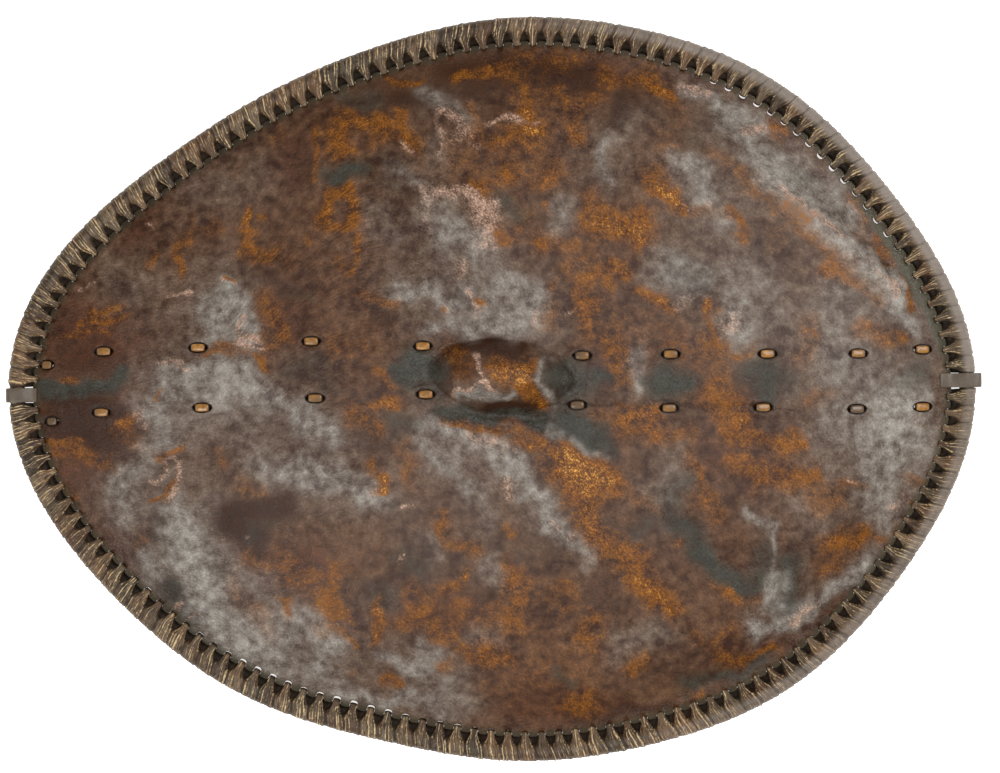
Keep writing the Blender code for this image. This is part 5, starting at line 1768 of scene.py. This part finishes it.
# Raw hide dried without dressing: dull, horny brown and olive. Pale cut edges and painted highlight run along
# the crests, painted shade lies in the folds and the gaps between turns, and a painted grey sheen lies on the
# smooth outer side of the turns near the broad ends.
rawhide, shader = new_material("rawhide_lacing")
LACING_FIBRE_SCALE = 1 / (2.2 * MM)  # real fibres are too fine to show, so they are drawn at 2.2 mm
LACING_STAIN_SCALE = 1 / (30 * MM)
place = add_node(rawhide, "ShaderNodeTexCoord").outputs["Object"]
fibre = add_node(
    rawhide,
    "ShaderNodeTexNoise",
    {"Vector": place, "Scale": LACING_FIBRE_SCALE, "Detail": 4.0, "Roughness": 0.6},
)
stain = add_node(
    rawhide,
    "ShaderNodeTexNoise",
    {"Vector": place, "Scale": LACING_STAIN_SCALE, "Detail": 3.0, "Roughness": 0.6},
)
fan, turn, tone, crest, gap_shade, plain = (
    add_node(rawhide, "ShaderNodeAttribute", attribute_name=name).outputs["Fac"]
    for name in ("fan", "turn", "tone", "crest", "gap_shade", "plain")
)
along_strip = add_node(rawhide, "ShaderNodeCombineXYZ", {0: fan, 1: turn})
stretch = add_node(
    rawhide,
    "ShaderNodeMapping",
    {"Vector": along_strip.outputs[0], "Scale": (6.5, 0.9, 1.0)},
    vector_type="POINT",
)
pleats = add_node(
    rawhide,
    "ShaderNodeTexNoise",
    {"Vector": stretch.outputs[0], "Scale": 1.0, "Detail": 3.0, "Roughness": 0.6},
)
reddish = add_node(
    rawhide, "ShaderNodeMapRange", {"Value": stain.outputs["Fac"], "From Min": 0.35, "From Max": 0.65}
).outputs["Result"]
olive_body = add_node(
    rawhide, "ShaderNodeMix", {0: tone, 6: linear("#44392b"), 7: linear("#6e5d48")}, data_type="RGBA"
).outputs[2]
brown_body = add_node(
    rawhide, "ShaderNodeMix", {0: tone, 6: linear("#462d1b"), 7: linear("#77573b")}, data_type="RGBA"
).outputs[2]
body = add_node(
    rawhide, "ShaderNodeMix", {0: reddish, 6: olive_body, 7: brown_body}, data_type="RGBA"
).outputs[2]
# Painted shade in the folds between the pleats.
pleat_shade = add_node(
    rawhide, "ShaderNodeMapRange", {"Value": pleats.outputs["Fac"], "From Min": 0.50, "From Max": 0.34}
).outputs["Result"]
body = add_node(
    rawhide, "ShaderNodeMix", {0: pleat_shade, 6: body, 7: linear("#1f150e")}, data_type="RGBA"
).outputs[2]
# The highest crests are painted pale: partly the cut edges, partly painted highlight.
raised = add_node(
    rawhide, "ShaderNodeMath", {0: pleats.outputs["Fac"], 1: 2.6, 2: crest}, operation="MULTIPLY_ADD"
).outputs[0]
raised = add_node(
    rawhide, "ShaderNodeMath", {0: fibre.outputs["Fac"], 1: 1.4, 2: raised}, operation="MULTIPLY_ADD"
).outputs[0]
pale = add_node(
    rawhide,
    "ShaderNodeMapRange",
    {"Value": raised, "From Min": 2.25, "From Max": 3.1},
    interpolation_type="SMOOTHSTEP",
).outputs["Result"]
body = add_node(
    rawhide, "ShaderNodeMix", {0: pale, 6: body, 7: linear("#d6bb8e")}, data_type="RGBA"
).outputs[2]
# Painted grey sheen on the smooth outer side of the turns near the broad ends.
grey = add_node(
    rawhide,
    "ShaderNodeMix",
    {0: stain.outputs["Fac"], 6: linear("#6a5f55"), 7: linear("#9a8e84")},
    data_type="RGBA",
).outputs[2]
body = add_node(rawhide, "ShaderNodeMix", {0: plain, 6: body, 7: grey}, data_type="RGBA").outputs[2]
# painted shade in the gaps between turns
dark = add_node(rawhide, "ShaderNodeMath", {0: gap_shade, 1: 0.85}, operation="MULTIPLY").outputs[0]
body = add_node(
    rawhide, "ShaderNodeMix", {0: dark, 6: body, 7: linear("#1c140e")}, data_type="RGBA"
).outputs[2]
rawhide.node_tree.links.new(body, shader.inputs["Base Color"])
shader.inputs["Roughness"].default_value = 0.5
shader.inputs["Specular IOR Level"].default_value = 0.4
heights = add_node(
    rawhide,
    "ShaderNodeMath",
    {0: pleats.outputs["Fac"], 1: 3.0, 2: fibre.outputs["Fac"]},
    operation="MULTIPLY_ADD",
).outputs[0]
bump = add_node(rawhide, "ShaderNodeBump", {"Height": heights, "Strength": 0.6, "Distance": 0.5 * MM})
rawhide.node_tree.links.new(bump.outputs["Normal"], shader.inputs["Normal"])
binding.data.materials.append(rawhide)
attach(binding, "root")
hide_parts("rim_binding")

# ---------------------------------------------------------------- end straps
# A flat strap of darker hide goes round the lacing at each end of the shield, and back through the hide's
# edge. It pinches the roll under it and stands a little off its outer side.

STRAP_HALF_WIDTH = 6.6 * MM
STRAP_THICKNESS = 1.5 * MM
STRAP_REACH = 450.6 * MM
PINCH_HEIGHT = 9.6 * MM
OVER_ROLL = 0.35 * MM  # gaps under the strap: over the roll, over the hide and above the floor
OVER_HIDE = 0.7 * MM
OVER_FLOOR = 0.2 * MM
OVER_STITCHES = 12.8 * MM  # the strap's lowest level where it crosses the stitches


def strap_path(side, reach, leg):
    """Inset and height of each bend of a strap, from outside, over the roll and down through the hide."""
    half = STRAP_THICKNESS / 2
    outer = reach - STRAP_REACH + half
    top = PINCH_HEIGHT + PINCH_RADIUS + OVER_ROLL + half
    low = half + OVER_FLOOR
    places = (EDGE_INSET + MM, leg)
    over = [face_height(side * (reach - inset), STRAP_LINE_Y) + OVER_HIDE + half for inset in places]
    return [
        (outer, 4.0 * MM),
        (outer, 15.0 * MM),
        (outer + 3.0 * MM, top),
        (13.5 * MM, top + 0.2 * MM),
        (EDGE_INSET, max(over[0], OVER_STITCHES)),
        (leg, max(over[1], OVER_STITCHES)),
        (leg, low),
        (outer + 3.0 * MM, low),
    ]


# Raw hide strap, scraped flat and dried under tension: dull grey brown, with a faint fibrous grain.
strap_hide, shader = new_material("dark_strap_hide")
STRAP_FIBRE_SCALE = 1 / (3.0 * MM)  # real fibres are too fine to show, so they are drawn at 3 mm
STRAP_STAIN_SCALE = 1 / (16 * MM)
place = add_node(strap_hide, "ShaderNodeTexCoord").outputs["Object"]
fibres = add_node(
    strap_hide,
    "ShaderNodeTexNoise",
    {"Vector": place, "Scale": STRAP_FIBRE_SCALE, "Detail": 5.0, "Roughness": 0.6},
)
stain = add_node(
    strap_hide, "ShaderNodeTexNoise", {"Vector": place, "Scale": STRAP_STAIN_SCALE, "Detail": 3.0}
)
colour = add_node(
    strap_hide,
    "ShaderNodeMix",
    {0: stain.outputs["Fac"], 6: linear("#46342a"), 7: linear("#7d7462")},
    data_type="RGBA",
).outputs[2]
colour = add_node(
    strap_hide, "ShaderNodeMix", {0: fibres.outputs["Fac"], 6: colour, 7: linear("#4a3c31")}, data_type="RGBA"
).outputs[2]
strap_hide.node_tree.links.new(colour, shader.inputs["Base Color"])
shader.inputs["Roughness"].default_value = 0.45
bump = add_node(
    strap_hide, "ShaderNodeBump", {"Height": fibres.outputs["Fac"], "Strength": 0.6, "Distance": 0.5 * MM}
)
strap_hide.node_tree.links.new(bump.outputs["Normal"], shader.inputs["Normal"])

for name, node, side, reach, leg in (
    ("broad_end_strap", "end_strap_broad", 1.0, RIM_REACH[0], 34.2 * MM),
    ("narrow_end_strap", "end_strap_narrow", -1.0, RIM_REACH[len(RIM_REACH) // 2], 26.4 * MM),
):
    path = [np.array(bend) for bend in strap_path(side, reach, leg)]
    sections = []
    for index, here in enumerate(path):
        out = mitre(path[index - 1], here, path[(index + 1) % len(path)]) * STRAP_THICKNESS / 2
        middle = (side * (reach - here[0]), STRAP_LINE_Y, here[1])
        sections.append([middle, (0.0, side * STRAP_HALF_WIDTH, 0.0), (-side * out[0], 0.0, out[1])])
    sections = cut_corners(np.array(sections), times=4, cut=0.16)
    points, faces = sweep(sections, corners=20, squareness=0.45)
    wrinkle = noise_at(points[:, 0], points[:, 1], 7 * MM, 2, 21.0)
    points[:, 2] += np.where(points[:, 2] > 8 * MM, 0.25 * MM * wrinkle, 0.0)
    strap = add_piece(name, points, faces)
    strap.data.materials.append(strap_hide)
    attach(strap, "root")
    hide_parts(node)

# ---------------------------------------------------------------- floor and lights
# A pale floor that glows a little, as a lit sweep does, and large soft lights.

bpy.ops.mesh.primitive_plane_add(size=60.0, location=(0.0, 0.0, -0.0004))
floor = bpy.context.object
floor.name = "floor"
# Painted board, sprayed matt: plain and pale, with no highlight of its own.
pale_floor, shader = new_material("pale_floor")
shader.inputs["Base Color"].default_value = linear("#f2f2f0")
shader.inputs["Roughness"].default_value = 0.9
shader.inputs["Emission Color"].default_value = linear("#ffffff")
shader.inputs["Emission Strength"].default_value = 0.8
floor.data.materials.append(pale_floor)

world = bpy.data.worlds.new("studio")
world.use_nodes = True
world.node_tree.nodes["Background"].inputs["Color"].default_value = linear("#fff8ee")
world.node_tree.nodes["Background"].inputs["Strength"].default_value = 0.2
bpy.context.scene.world = world

for name, place, size, power in (
    ("softbox_left", (-1.1, -1.2, 2.3), 1.4, 46.0),
    ("softbox_right", (1.6, 0.7, 2.3), 1.8, 60.0),
):
    bpy.ops.object.light_add(type="AREA", location=place)
    light = bpy.context.object
    light.name = name
    light.data.size = size
    light.data.energy = power
    light.rotation_mode = "QUATERNION"
    light.rotation_quaternion = Vector(place).to_track_quat("Z", "Y")
